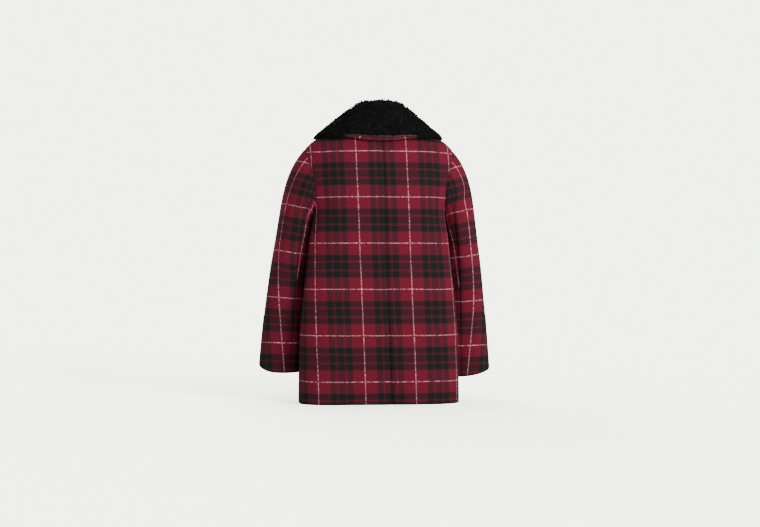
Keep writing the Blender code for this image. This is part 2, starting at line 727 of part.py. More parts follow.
def add_button(name, z, material):
    """A turned button with a raised rim and four holes, standing off the right front."""
    profile = (
        (0.0, BUTTON_THICK * 0.62),
        (BUTTON_RADIUS * 0.62, BUTTON_THICK * 0.62),
        (BUTTON_RADIUS * 0.74, BUTTON_THICK * 0.95),
        (BUTTON_RADIUS * 0.86, BUTTON_THICK),
        (BUTTON_RADIUS * 0.97, BUTTON_THICK * 0.78),
        (BUTTON_RADIUS, BUTTON_THICK * 0.45),
        (BUTTON_RADIUS * 0.92, BUTTON_THICK * 0.12),
        (BUTTON_RADIUS * 0.70, 0.0),
        (0.0, 0.0),
    )
    mesh = bpy.data.meshes.new(name)
    edges = [(i, i + 1) for i in range(len(profile) - 1)]
    mesh.from_pydata([(r, 0.0, h) for r, h in profile], edges, [])
    made = add_object(name, mesh, material)
    turn = made.modifiers.new("turned", "SCREW")
    turn.steps = turn.render_steps = 28
    turn.use_merge_vertices = True
    turn.merge_threshold = 0.00005
    place = level_point(np.array(0.0), np.array(z), False)
    normal = Vector(body_normal(place))
    foot = Vector(place) + normal * BUTTON_STAND
    made.matrix_world = Matrix.Translation(foot) @ normal.to_track_quat("Z", "Y").to_matrix().to_4x4()
    for k in range(4):
        turn_angle = math.pi / 4 + k * math.pi / 2
        bpy.ops.mesh.primitive_cylinder_add(
            vertices=10, radius=BUTTON_HOLE_RADIUS, depth=BUTTON_THICK * 3
        )
        hole = bpy.context.object
        hole.name = f"{name}_hole_{k + 1}"
        offset = Vector((math.cos(turn_angle), math.sin(turn_angle), 0)) * BUTTON_HOLE_SPREAD
        hole.matrix_world = made.matrix_world @ Matrix.Translation(offset)
        hole.hide_render = True
        hole.display_type = "WIRE"
        for collection in hole.users_collection:
            collection.objects.unlink(hole)
        cutters.objects.link(hole)
        cut = made.modifiers.new(f"hole {k + 1}", "BOOLEAN")
        cut.operation = "DIFFERENCE"
        cut.object = hole
    return made


for old in list(bpy.data.objects):
    bpy.data.objects.remove(old)
coat = bpy.data.collections.new("plaid wool coat")
cutters = bpy.data.collections.new("cutters")
bpy.context.scene.collection.children.link(coat)
bpy.context.scene.collection.children.link(cutters)

wool = new_material("plaid wool", WOOL_RED, 0.9)
pile = new_material("black pile", PILE_BLACK, 0.95)
binding = new_material("binding", BINDING_GREY, 0.6)
horn = new_material("button", BUTTON_BLACK, 0.35)

add_body_panel("back_left", back_panel(True))
add_body_panel("back_right", with_vent_underlap(back_panel(False)))
add_body_panel("front_right", mirrored(front_panel()))
add_body_panel("front_left", sunk_under(front_panel()))

behind_arm, before_arm = armhole_stops(True), armhole_stops(False)
top_sweep = np.concatenate([before_arm[FRONT_ARM_SEAM:], 360 + behind_arm[-2 : BACK_ARM_SEAM - 1 : -1]])
under_sweep = np.concatenate([behind_arm[BACK_ARM_SEAM:0:-1], before_arm[: FRONT_ARM_SEAM + 1]])
for sweep in (top_sweep, under_sweep):
    sweep[0] += SLEEVE_GAP_ANGLE
    sweep[-1] -= SLEEVE_GAP_ANGLE
for piece, sweep in (("sleeve_top", top_sweep), ("sleeve_under", under_sweep)):
    face, outward = sleeve_wall(sweep, LEFT_SLEEVE_DROP)
    add_wall(f"{piece}_left", face, outward, wool)
    face, outward = sleeve_wall(sweep, RIGHT_SLEEVE_DROP)
    add_wall(f"{piece}_right", mirrored(face), mirrored(outward), wool)

collar_face = whole_collar()
collar_normals = grid_normals(collar_face)
add_wall("collar", collar_face, collar_normals, wool)
add_loft("pile_collar", pile_rings(collar_face, collar_normals), pile)
add_binding("pile_binding", binding_line(collar_face, collar_normals), binding)

for number, button_z in enumerate(BUTTON_Z, start=1):
    add_button(f"button_{number}", button_z, horn)
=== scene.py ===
"""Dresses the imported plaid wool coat: brushed wool plaid, pile collar, buttons, sewing and light."""

import math

import bpy
import numpy as np
from mathutils import Matrix, Vector


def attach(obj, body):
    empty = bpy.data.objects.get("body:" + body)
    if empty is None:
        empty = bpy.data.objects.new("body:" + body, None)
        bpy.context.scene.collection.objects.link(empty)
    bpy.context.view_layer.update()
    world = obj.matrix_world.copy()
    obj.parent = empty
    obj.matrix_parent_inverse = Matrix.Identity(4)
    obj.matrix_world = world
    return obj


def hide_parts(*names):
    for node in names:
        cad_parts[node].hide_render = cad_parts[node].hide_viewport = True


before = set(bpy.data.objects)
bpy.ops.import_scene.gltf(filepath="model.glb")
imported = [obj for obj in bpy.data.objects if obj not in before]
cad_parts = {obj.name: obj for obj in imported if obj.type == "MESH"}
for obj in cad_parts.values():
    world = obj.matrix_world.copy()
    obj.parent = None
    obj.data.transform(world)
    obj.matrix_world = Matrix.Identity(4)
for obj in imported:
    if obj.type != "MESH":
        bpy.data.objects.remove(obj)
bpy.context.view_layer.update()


# The two back halves: heavy wool coating, sewn down the centre back seam, with a vent at the hem
# where the left half laps over the right. All body pieces are walls on one form, whose level
# sections are rounded rectangles, and the plaid follows each piece's flat cut.
WALL = 0.003
SEAM_GAP = -0.0001
ARMHOLE_GAP = -0.0001
UNDERARM_CLEAR = 0.0006
NECK_FLAT_RUN = 0.009
HEM_Z = -0.724
ARMPIT_Z = -0.222
SHOULDER_TIP_Z = -0.057
NECK_POINT_Z = 0.004
SPLIT_Z = -0.275
VENT_TOP_Z = -0.526

# Level sections of the body: half the width, the depth behind and before the side seams, and how
# square the section is behind and before them, from 2 for an ellipse upwards.
BODY_COLUMNS = ("z", "half_width", "back", "front", "back_square", "front_square")
BODY = (
    (-0.724, 0.2115, 0.092, 0.099, 3.3, 2.7),
    (-0.640, 0.2105, 0.092, 0.100, 3.3, 2.7),
    (-0.548, 0.2085, 0.092, 0.101, 3.3, 2.7),
    (-0.424, 0.1970, 0.091, 0.102, 3.3, 2.7),
    (-0.371, 0.1920, 0.091, 0.102, 3.2, 2.7),
    (-0.297, 0.1845, 0.092, 0.103, 3.1, 2.7),
    (-0.222, 0.1750, 0.095, 0.103, 2.9, 2.7),
    (-0.177, 0.1910, 0.097, 0.101, 2.7, 2.6),
    (-0.140, 0.2030, 0.097, 0.097, 2.6, 2.6),
    (-0.100, 0.2060, 0.094, 0.090, 2.5, 2.5),
    (-0.075, 0.2020, 0.090, 0.083, 2.4, 2.4),
    (-0.057, 0.1960, 0.086, 0.077, 2.3, 2.3),
    (-0.048, 0.1880, 0.083, 0.074, 2.3, 2.3),
    (-0.040, 0.1800, 0.081, 0.071, 2.3, 2.3),
    (-0.0335, 0.1710, 0.079, 0.068, 2.2, 2.2),
    (-0.028, 0.1600, 0.077, 0.066, 2.2, 2.2),
    (-0.020, 0.1400, 0.073, 0.062, 2.2, 2.2),
    (-0.012, 0.1200, 0.070, 0.058, 2.1, 2.1),
    (-0.004, 0.1000, 0.066, 0.054, 2.1, 2.1),
    (0.004, 0.0800, 0.062, 0.050, 2.1, 2.1),
    (0.012, 0.0620, 0.056, 0.045, 2.1, 2.1),
    (0.020, 0.0480, 0.048, 0.040, 2.1, 2.1),
)

# The centre back seam leans to the wearer's right as it goes down.
BACK_SEAM_TOP_X = 0.0015
BACK_SEAM_LEAN = 0.0241

# Armhole: an egg in side view, wider low down.
ARMHOLE_BACK_REACH = 0.062
ARMHOLE_FRONT_REACH = 0.064
ARMHOLE_EGG = 0.12

# The laps: how far the fronts pass the centre, and how the vent's underlap runs under the left back,
# a wall and a gap further in.
OVERLAP = 0.022
UNDERLAP_SINK = WALL + 0.0010
SINK_RUN = 0.012
VENT_UNDERLAP = 0.036
VENT_SLANT = 0.030
VENT_COLUMNS = 9
VENT_STEP_UP = 0.018
VENT_LEAST = 0.0008

# Half of the collar, from the centre back to its front end: the neck seam, how high the roll
# stands above it, where the outer edge lies on the body, how far off the body that edge hangs, and
# how much of the wool shows below the pile.
COLLAR_COLUMNS = ("neck_x", "neck_y", "neck_z", "roll", "edge_x", "edge_y", "edge_z", "hang", "bare")
COLLAR = (
    (0.000, 0.068, -0.008, 0.071, 0.000, 0.085, -0.040, 0.013, 0.0120),
    (0.028, 0.063, -0.006, 0.067, 0.045, 0.083, -0.038, 0.013, 0.0110),
    (0.055, 0.046, 0.002, 0.051, 0.088, 0.073, -0.032, 0.011, 0.0050),
    (0.072, 0.025, 0.004, 0.036, 0.122, 0.052, -0.029, 0.009, 0.0025),
    (0.079, 0.008, 0.004, 0.028, 0.150, 0.028, -0.029, 0.007, 0.0025),
    (0.080, -0.006, 0.003, 0.026, 0.160, 0.002, -0.029, 0.006, 0.0025),
    (0.079, -0.022, -0.002, 0.025, 0.160, -0.028, -0.036, 0.006, 0.0025),
    (0.074, -0.038, -0.016, 0.025, 0.151, -0.048, -0.056, 0.006, 0.0025),
    (0.065, -0.052, -0.042, 0.022, 0.132, -0.068, -0.088, 0.006, 0.0025),
    (0.052, -0.066, -0.082, 0.018, 0.104, -0.083, -0.128, 0.006, 0.0025),
    (0.036, -0.080, -0.128, 0.014, 0.071, -0.093, -0.172, 0.006, 0.0025),
    (0.018, -0.092, -0.180, 0.010, 0.037, -0.100, -0.212, 0.006, 0.0025),
    (0.006, -0.097, -0.208, 0.007, 0.018, -0.102, -0.226, 0.006, 0.0025),
)
NECKLINE_END = ((0.000, -0.099, -0.222), (-OVERLAP, -0.101, SPLIT_Z))

# The mesh: how far its first rows lie from an edge, how many cells each stretch has, and from how
# many samples the lengths are taken.
EDGE_CELLS = (0.0, 0.0010, 0.0022, 0.0040, 0.0065, 0.0100)
CELLS_TO_ARMPIT = 14
CELLS_AT_ARMHOLE = 60
CELLS_BACK_NECK = 30
CELLS_SHOULDER = 40
CELLS_SKIRT = 52
CELLS_WAIST = 64
ARMHOLE_SAMPLES = 721
SHOULDER_SAMPLES = 400
ROW_SAMPLES = 600


def column(table, columns, name):
    """One named column of a table."""
    at = columns.index(name)
    return np.array([row[at] for row in table])


def hermite(start, leaving, end, arriving, t):
    """The smooth way from one value to another with given slopes, at a share of the way."""
    return (
        start * (1 + 2 * t) * (1 - t) ** 2
        + leaving * t * (1 - t) ** 2
        + end * t * t * (3 - 2 * t)
        + arriving * t * t * (t - 1)
    )


def smooth(places, values):
    """A curve through the values that never overshoots them, as a function of the place."""
    order = np.argsort(places)
    x, y = np.asarray(places, float)[order], np.asarray(values, float)[order]
    step = np.diff(x)
    slope = np.diff(y) / step
    product, total = slope[:-1] * slope[1:], slope[:-1] + slope[1:]
    lean = np.zeros(len(x))
    lean[1:-1] = np.where(product > 0, 2 * product / np.where(total == 0, 1, total), 0)
    lean[0], lean[-1] = slope[0], slope[-1]

    def at(place):
        place = np.clip(place, x[0], x[-1])
        i = np.clip(np.searchsorted(x, place) - 1, 0, len(step) - 1)
        return hermite(y[i], lean[i] * step[i], y[i + 1], lean[i + 1] * step[i], (place - x[i]) / step[i])

    return at


def curve_of(table, columns, name):
    """A column of a table as a smooth function of the table's first column."""
    return smooth(column(table, columns, columns[0]), column(table, columns, name))


half_width_at, back_depth_at, front_depth_at, back_square_at, front_square_at = (
    curve_of(BODY, BODY_COLUMNS, name) for name in BODY_COLUMNS[1:]
)


def section_at(z, behind):
    """Depth and squareness of the level section at a height, behind or before the side seams."""
    depth = np.where(behind, back_depth_at(z), front_depth_at(z))
    return depth, np.where(behind, back_square_at(z), front_square_at(z))


def body_field(p):
    """Below 0 inside the body's form, 0 on its surface and above 0 outside."""
    x, y, z = p[..., 0], p[..., 1], p[..., 2]
    depth, power = section_at(z, y >= 0)
    return ((np.abs(x) / half_width_at(z)) ** power + (np.abs(y) / depth) ** power) ** (1 / power) - 1


def body_gradient(p):
    reach = 1e-5
    sides = [
        (body_field(p + reach * axis) - body_field(p - reach * axis)) / (2 * reach)
        for axis in np.eye(3)
    ]
    return np.stack(sides, axis=-1)


def on_body(points, rounds=12):
    """The points moved straight onto the body's surface."""
    p = np.array(points, float)
    for _ in range(rounds):
        slope = body_gradient(p)
        p = p - slope * (body_field(p) / (slope * slope).sum(-1))[..., None]
    return p


def unit(vectors):
    return vectors / np.linalg.norm(vectors, axis=-1, keepdims=True)


def body_normal(points):
    return unit(body_gradient(points))


def ease(t):
    t = np.clip(t, 0, 1)
    return t * t * (3 - 2 * t)


def level_point(x, z, back):
    """The body's surface at a place across and a height, behind or before the side seams."""
    depth, power = section_at(z, back)
    inside = np.clip(1 - (np.abs(x) / half_width_at(z)) ** power, 0, 1)
    y = depth * inside ** (1 / power)
    return np.stack([x + 0 * z, y if back else -y, z + 0 * x], axis=-1)


def lengths(line):
    """Distance of each point of a line from its start."""
    return np.concatenate([[0], np.cumsum(np.linalg.norm(np.diff(line, axis=0), axis=1))])


def points_at(line, distances):
    along = lengths(line)
    return np.stack([np.interp(distances, along, line[:, k]) for k in range(3)], axis=1)


def edged_stops(length, count):
    """Distances evenly over a length, but closer together at both ends, where seams dip."""
    middle = np.linspace(EDGE_CELLS[-1], length - EDGE_CELLS[-1], count + 1 - 2 * (len(EDGE_CELLS) - 1))
    return np.concatenate([EDGE_CELLS[:-1], middle, length - np.array(EDGE_CELLS[-2::-1])])


def curve_through(points, per_span=24):
    """A smooth line through a few points."""
    p = np.asarray(points, float)
    chord = np.concatenate([[0], np.cumsum(np.sqrt(np.linalg.norm(np.diff(p, axis=0), axis=1)))])
    slope = np.gradient(p, chord, axis=0)
    line = []
    for i, step in enumerate(np.diff(chord)):
        t = np.linspace(0, 1, per_span, endpoint=i == len(p) - 2)[:, None]
        line.append(hermite(p[i], slope[i] * step, p[i + 1], slope[i + 1] * step, t))
    return np.concatenate(line)


def patch(left, right, bottom, top):
    """A grid of points between four border lines, rows from bottom to top."""
    s = np.linspace(0, 1, len(bottom))[None, :, None]
    t = np.linspace(0, 1, len(left))[:, None, None]
    across = (1 - s) * left[:, None] + s * right[:, None]
    upward = (1 - t) * bottom[None] + t * top[None]
    corners = (1 - s) * (1 - t) * bottom[0] + s * (1 - t) * bottom[-1]
    return across + upward - (corners + (1 - s) * t * top[0] + s * t * top[-1])


def armhole(degrees, grow=0.0):
    """The armhole on the wearer's left: 0 at the shoulder tip, 90 behind, 180 under the arm."""
    a = np.radians(degrees)
    middle = (SHOULDER_TIP_Z + ARMPIT_Z) / 2
    half_high = (SHOULDER_TIP_Z - ARMPIT_Z) / 2 + grow
    reach = np.where(np.sin(a) >= 0, ARMHOLE_BACK_REACH, ARMHOLE_FRONT_REACH) + grow
    y = reach * np.sin(a) * (1 - ARMHOLE_EGG * np.cos(a))
    z = middle + half_high * np.cos(a)
    depth, power = section_at(z, y >= 0)
    x = half_width_at(z) * (1 - (np.abs(y) / depth) ** power) ** (1 / power)
    return np.stack([x, y, z], axis=-1)


def armhole_stops(back, count):
    """Angles from under the arm up to the shoulder tip, at even steps along the armhole."""
    sweep = np.linspace(180, 0 if back else 360, ARMHOLE_SAMPLES)
    along = lengths(armhole(sweep))
    return np.interp(np.linspace(0, along[-1], count + 1), along, sweep)


def seam_y(back):
    """Where a back or a front ends at its side and shoulder seams."""
    return SEAM_GAP if back else -SEAM_GAP


def side_line(z, back):
    """The side of the form at some heights, as the edge of a back or of a front."""
    return np.stack([half_width_at(z), 0 * z + seam_y(back), z], axis=1)


def side_border(back):
    """Side seam above the split, then the armhole, up to the shoulder tip."""
    seam = side_line(np.linspace(SPLIT_Z, ARMPIT_Z - ARMHOLE_GAP, CELLS_TO_ARMPIT + 1), back)
    hole = armhole(armhole_stops(back, CELLS_AT_ARMHOLE), ARMHOLE_GAP)
    hole[-1, 1] = seam_y(back)
    return np.concatenate([seam, hole[1:]])


def shoulder_border(back, shares):
    """The shoulder seam from the neck point to the shoulder tip, at shares of its length."""
    line = side_line(np.linspace(NECK_POINT_Z, SHOULDER_TIP_Z + ARMHOLE_GAP, SHOULDER_SAMPLES), back)
    return points_at(line, np.asarray(shares) * lengths(line)[-1])


def neckline():
    """The neck seam on the wearer's left, from the centre back to the end of the front overlap."""
    seam = np.array([row[:3] for row in COLLAR])
    return on_body(curve_through(np.concatenate([seam, NECKLINE_END])))


def split_at_shoulder(line):
    """The behind and the before part of the neckline, each ending at the neck point."""
    crossing = int(np.argmax(line[:, 1] < 0))
    point = np.array([[float(half_width_at(NECK_POINT_Z)), 0.0, NECK_POINT_Z]])
    return np.concatenate([line[:crossing], point]), np.concatenate([point, line[crossing:]])


def back_seam_x(z):
    """Where the leaning centre back seam lies at a height."""
    return BACK_SEAM_TOP_X - BACK_SEAM_LEAN * (z / HEM_Z)


def mirrored(points):
    return points * np.array([-1.0, 1.0, 1.0])


def level_row(start_x, z, back, cells):
    """A level row of points on the body, from a place across to the side seam."""
    x = start_x + (float(half_width_at(z)) - start_x) * np.sin(np.linspace(0, math.pi / 2, ROW_SAMPLES))
    line = level_point(x, np.full_like(x, z), back)
    line[-1, 1] = seam_y(back)
    return points_at(line, edged_stops(lengths(line)[-1], cells))


def low_levels():
    """Heights of the level rows from the hem to the split, closer together at the hem."""
    above_edge = HEM_Z + EDGE_CELLS[-1]
    skirt = np.linspace(above_edge, VENT_TOP_Z, CELLS_SKIRT)
    waist = np.linspace(VENT_TOP_Z, SPLIT_Z, CELLS_WAIST)[1:]
    return np.concatenate([HEM_Z + np.array(EDGE_CELLS[:-1]), skirt, waist])


def on_body_inside(grid):
    """The inner points of a grid moved onto the body, its borders left as they are."""
    moved = grid.copy()
    moved[1:-1, 1:-1] = on_body(grid[1:-1, 1:-1])
    return moved


def back_panel(left):
    """The grid of one back panel, made on the wearer's left and mirrored for the right."""
    sign = 1 if left else -1
    cells = CELLS_BACK_NECK + CELLS_SHOULDER
    starts = sign * back_seam_x(low_levels()) + SEAM_GAP
    low = np.stack([level_row(x, z, True, cells) for x, z in zip(starts, low_levels())])
    behind, _ = split_at_shoulder(neckline())
    centre_z = np.linspace(SPLIT_Z, behind[0, 2], CELLS_TO_ARMPIT + CELLS_AT_ARMHOLE + 1)
    centre = level_point(sign * back_seam_x(centre_z) + SEAM_GAP, centre_z, True)
    behind = behind[behind[:, 0] > centre[-1, 0] + SEAM_GAP]
    neck = np.concatenate([centre[-1:], behind])
    shares = lengths(low[-1]) / lengths(low[-1])[-1]
    neck_share = shares[CELLS_BACK_NECK]
    neck = points_at(neck, shares[: CELLS_BACK_NECK + 1] / neck_share * lengths(neck)[-1])
    shoulder = shoulder_border(True, (shares[CELLS_BACK_NECK:] - neck_share) / (1 - neck_share))
    high = patch(centre, side_border(True), low[-1], np.concatenate([neck[:-1], shoulder]))
    grid = np.concatenate([low, on_body_inside(high)[1:]])
    return grid if left else mirrored(grid)


# Soft folds of the body, each with its side, its place across, its top and bottom, its width, how
# far it lifts the cloth, and how far across it drifts on its way down.
FOLDS = (
    ("back", 0.148, -0.330, -0.90, 0.040, 0.0045, 0.000),
    ("back", 0.085, -0.430, -0.90, 0.045, -0.0030, 0.004),
    ("back", -0.075, -0.470, -0.90, 0.040, 0.0030, -0.004),
    ("back", -0.150, -0.300, -0.90, 0.042, 0.0050, 0.000),
    ("back", 0.160, -0.120, -0.28, 0.016, -0.0035, -0.020),
    ("back", -0.158, -0.130, -0.30, 0.017, -0.0038, 0.022),
    ("back", 0.128, -0.150, -0.33, 0.022, 0.0022, -0.015),
    ("back", -0.124, -0.160, -0.32, 0.020, 0.0020, 0.018),
    ("back", 0.030, -0.560, -0.90, 0.022, -0.0016, 0.003),
    ("back", -0.115, -0.580, -0.90, 0.020, -0.0018, 0.000),
    ("front", 0.150, -0.320, -0.90, 0.045, 0.0045, 0.000),
    ("front", 0.090, -0.420, -0.90, 0.045, -0.0030, 0.003),
    ("front", -0.095, -0.440, -0.90, 0.045, -0.0030, 0.000),
    ("front", -0.155, -0.340, -0.90, 0.045, 0.0040, 0.000),
    ("front", 0.140, -0.130, -0.29, 0.018, -0.0035, -0.018),
    ("front", -0.142, -0.120, -0.28, 0.018, -0.0035, 0.018),
    ("front", 0.060, -0.600, -0.90, 0.022, -0.0015, 0.002),
)
FOLD_FADE = 0.16
FOLD_FROM_SIDE = 0.04
SEAM_DIP = 0.0010
SEAM_DIP_WIDTH = 0.0022
BACK_SEAM_DIP = 0.0024
BACK_SEAM_DIP_WIDTH = 0.0034
ABOVE_NECK_Z = 0.02
WIDEST_X = 0.215
SHOULDERS_FROM_Z = -0.10


def folded(points):
    """How far the soft folds lift the cloth at each point."""
    x, y, z = points[..., 0], points[..., 1], points[..., 2]
    lift = np.zeros(x.shape)
    for side, place, top, bottom, width, rise, drift in FOLDS:
        facing = y > 0 if side == "back" else y < 0
        fade = min(FOLD_FADE, (top - bottom) / 2)
        middle = place + drift * (top - z) / (top - bottom)
        share = ease((top - z) / fade) * ease((z - bottom) / fade) * np.exp(-(((x - middle) / width) ** 2))
        lift = lift + np.where(facing, share * rise * ease(np.abs(y) / FOLD_FROM_SIDE), 0)
    return lift


def seam_dip(distance, depth=SEAM_DIP, width=SEAM_DIP_WIDTH):
    """How far cloth dips at a seam or a turned edge."""
    return -depth * np.exp(-((distance / width) ** 2))


def running(steps):
    """Running totals along each row, from 0."""
    return np.concatenate([np.zeros((len(steps), 1)), np.cumsum(steps, axis=1)], axis=1)


def row_lengths(grid):
    """Distance of each point of a grid from the start of its row."""
    return running(np.linalg.norm(np.diff(grid, axis=1), axis=-1))


def from_borders(grid):
    """Distance of each point of a grid from its nearest border."""
    def one_way(points):
        along = row_lengths(points)
        return np.minimum(along, along[:, -1:] - along)

    return np.minimum(one_way(grid), one_way(grid.swapaxes(0, 1)).T)


def flat_length_up(x, z, back):
    """Length of cloth from the hem up to a height, in the upright plane at a place across."""
    rise = np.linspace(HEM_Z, ABOVE_NECK_Z, 900)
    across = np.linspace(0, WIDEST_X, 60)
    y = level_point(across[:, None], rise[None, :], back)[..., 1]
    table = running(np.sqrt(np.diff(y, axis=1) ** 2 + np.diff(rise)[None, :] ** 2))
    return between_rows(table, across, rise, np.abs(x), z)


def flat_length_across(grid, back):
    """Length of cloth from the middle out to each point of a grid, at its height."""
    heights, samples = np.linspace(HEM_Z, SHOULDERS_FROM_Z, 160), 200
    share = np.sin(np.linspace(0, math.pi / 2, samples))
    out = share[None, :] * half_width_at(heights)[:, None]
    y = level_point(out, heights[:, None], back)[..., 1]
    table = running(np.sqrt(np.diff(y, axis=1) ** 2 + np.diff(out, axis=1) ** 2))
    level = np.minimum(grid[..., 2], SHOULDERS_FROM_Z)
    at = np.arcsin(np.clip(np.abs(grid[..., 0]) / half_width_at(level), 0, 1)) / (math.pi / 2)
    return np.sign(grid[..., 0]) * between_rows(table, heights, np.linspace(0, 1, samples), level, at)


def between_rows(table, row_places, column_places, row_at, column_at):
    """Values of an evenly spaced table at places between its rows and columns."""
    i = np.clip((row_at - row_places[0]) / (row_places[1] - row_places[0]), 0, len(row_places) - 1.001)
    j = (column_at - column_places[0]) / (column_places[1] - column_places[0])
    j = np.clip(j, 0, len(column_places) - 1.001)
    a, b = i.astype(int), j.astype(int)
    s, t = i - a, j - b
    low = table[a, b] * (1 - t) + table[a, b + 1] * t
    return low * (1 - s) + (table[a + 1, b] * (1 - t) + table[a + 1, b + 1] * t) * s


def new_piece(name, points, faces, material):
    """A smooth mesh as an object of its own."""
    mesh = bpy.data.meshes.new(name)
    mesh.from_pydata(points.reshape(-1, 3).tolist(), [], faces)
    mesh.materials.append(material)
    mesh.shade_smooth()
    made = bpy.data.objects.new(name, mesh)
    bpy.context.scene.collection.objects.link(made)
    return made


def wall(name, outer, normals, cut, material):
    """A closed cloth wall between a grid of points and the same grid moved in, with its UVs."""
    rows, columns = outer.shape[:2]
    count = rows * columns
    at = np.arange(count).reshape(rows, columns)
    quads = np.stack([at[:-1, :-1], at[:-1, 1:], at[1:, 1:], at[1:, :-1]], axis=-1).reshape(-1, 4)
    rim = np.array([*at[0, :-1], *at[:-1, -1], *at[-1, :0:-1], *at[:0:-1, 0]])
    after = np.roll(rim, -1)
    sides = np.stack([rim, rim + count, after + count, after], axis=-1)
    faces = np.concatenate([quads, quads[:, ::-1] + count, sides])
    if np.cross(outer[0, 1] - outer[0, 0], outer[1, 0] - outer[0, 0]) @ normals[0, 0] < 0:
        faces = faces[:, ::-1]
    made = new_piece(name, np.stack([outer, outer - normals * WALL]), faces.tolist(), material)
    places = np.concatenate([cut, cut]).reshape(-1, 2)[faces.reshape(-1)]
    made.data.uv_layers.new(name="flat cut").uv.foreach_set("vector", places.reshape(-1))
    return made


class Shade:
    """A socket whose sums, products and differences are Math nodes."""

    tree = None

    def __init__(self, socket):
        self.socket = socket

    @classmethod
    def node(cls, kind, settings, inputs, output=0):
        made = cls.tree.nodes.new(kind)
        for name, value in settings.items():
            if name == "stops":
                ramp = made.color_ramp
                for place, colour in value[2:]:
                    ramp.elements.new(place).color = colour
                for element, (place, colour) in zip(ramp.elements, value[:2]):
                    element.position = place
                    element.color = colour
            else:
                setattr(made, name, value)
        for name, value in inputs.items():
            if isinstance(value, Shade):
                cls.tree.links.new(value.socket, made.inputs[name])
            else:
                made.inputs[name].default_value = value
        return cls(made.outputs[output])

    def math(self, operation, other=0.0, clamp=False):
        return self.node("ShaderNodeMath", {"operation": operation, "use_clamp": clamp}, {0: self, 1: other})

    def __add__(self, other):
        return self.math("ADD", other)

    __radd__ = __add__

    def __mul__(self, other):
        return self.math("MULTIPLY", other)

    __rmul__ = __mul__

    def __sub__(self, other):
        return self.math("SUBTRACT", other)

    def __rsub__(self, other):
        return self.node("ShaderNodeMath", {"operation": "SUBTRACT"}, {0: other, 1: self})

    def clamped(self):
        return self.math("ADD", 0.0, clamp=True)

    def mix(self, one, other):
        """A colour between two, by this value."""
        inputs = {"Factor": self, 6: one, 7: other}
        return self.node("ShaderNodeMix", {"data_type": "RGBA"}, inputs, output=2)

    @classmethod
    def noise(cls, place, scale, detail):
        """Soft noise with so many lumps to a metre."""
        return cls.node("ShaderNodeTexNoise", {}, {"Vector": place, "Scale": scale, "Detail": detail})


def new_material(name, roughness, shine=0.5, sheen=0.0):
    material = bpy.data.materials.new(name)
    material.use_nodes = True
    Shade.tree = material.node_tree
    shader = material.node_tree.nodes["Principled BSDF"]
    shader.inputs["Roughness"].default_value = roughness
    shader.inputs["Specular IOR Level"].default_value = shine
    shader.inputs["Sheen Weight"].default_value = sheen
    shader.inputs["Sheen Roughness"].default_value = 0.4
    return material, shader


def feed(shader, name, value):
    Shade.tree.links.new(value.socket, shader.inputs[name])


def feed_bump(shader, height, strength, distance):
    inputs = {"Height": height, "Strength": strength, "Distance": distance}
    feed(shader, "Normal", Shade.node("ShaderNodeBump", {}, inputs))


# The plaid, in metres of cloth: half a repeat from the middle of its dark group to the white line.
WARP_REPEAT = 0.1220
WEFT_REPEAT = 0.1201
DARK_MIDDLE = 0.0090
RED_LINE_ENDS = 0.0140
DARK_ENDS = 0.0295
WHITE_HALF = 0.0013
WHITE_EDGE = 0.0008
SOFT_EDGE = 0.0026
RED = (0.195, 0.0145, 0.0335, 1)
RED_OVER_DARK = (0.0930, 0.0165, 0.0265, 1)
DARK_OVER_RED = (0.0620, 0.0165, 0.0220, 1)
BLACKISH = (0.0150, 0.0184, 0.0160, 1)
WHITE = (1.0, 0.44, 0.50, 1)
WARP_LINE_DARKNESS = 0.35
WEFT_LINE_DARKNESS = 0.45
THREAD_WANDER = 0.0016
CLOTH_DRIFT = 0.0030
TWILL_PITCH = 0.0021
TWILL_SHOWS = 0.25
SLUB_GAPS = 0.38
SLUB_SHARPNESS = 3.4
LINE_LOST_IN_DARK = 0.22
FIBRE_SHOWS = 0.7
WEAR_SHOWS = 1.1


def stripes(place, repeat, line_darkness):
    """How dark and how white the threads of one direction are at a place across them."""
    turn = place.node("ShaderNodeMath", {"operation": "FLOORED_MODULO"}, {0: place, 1: repeat})
    off = (turn - repeat / 2).math("ABSOLUTE")

    def past(distance, edge=SOFT_EDGE):
        return (distance * (1 / edge) + 0.5).clamped()

    middle, outer, inner = past(DARK_MIDDLE - off), past(DARK_ENDS - off), past(off - RED_LINE_ENDS)
    dark = (middle + outer * inner).math("MAXIMUM", outer * line_darkness).clamped()
    return dark, past(off - (repeat / 2 - WHITE_HALF), WHITE_EDGE)


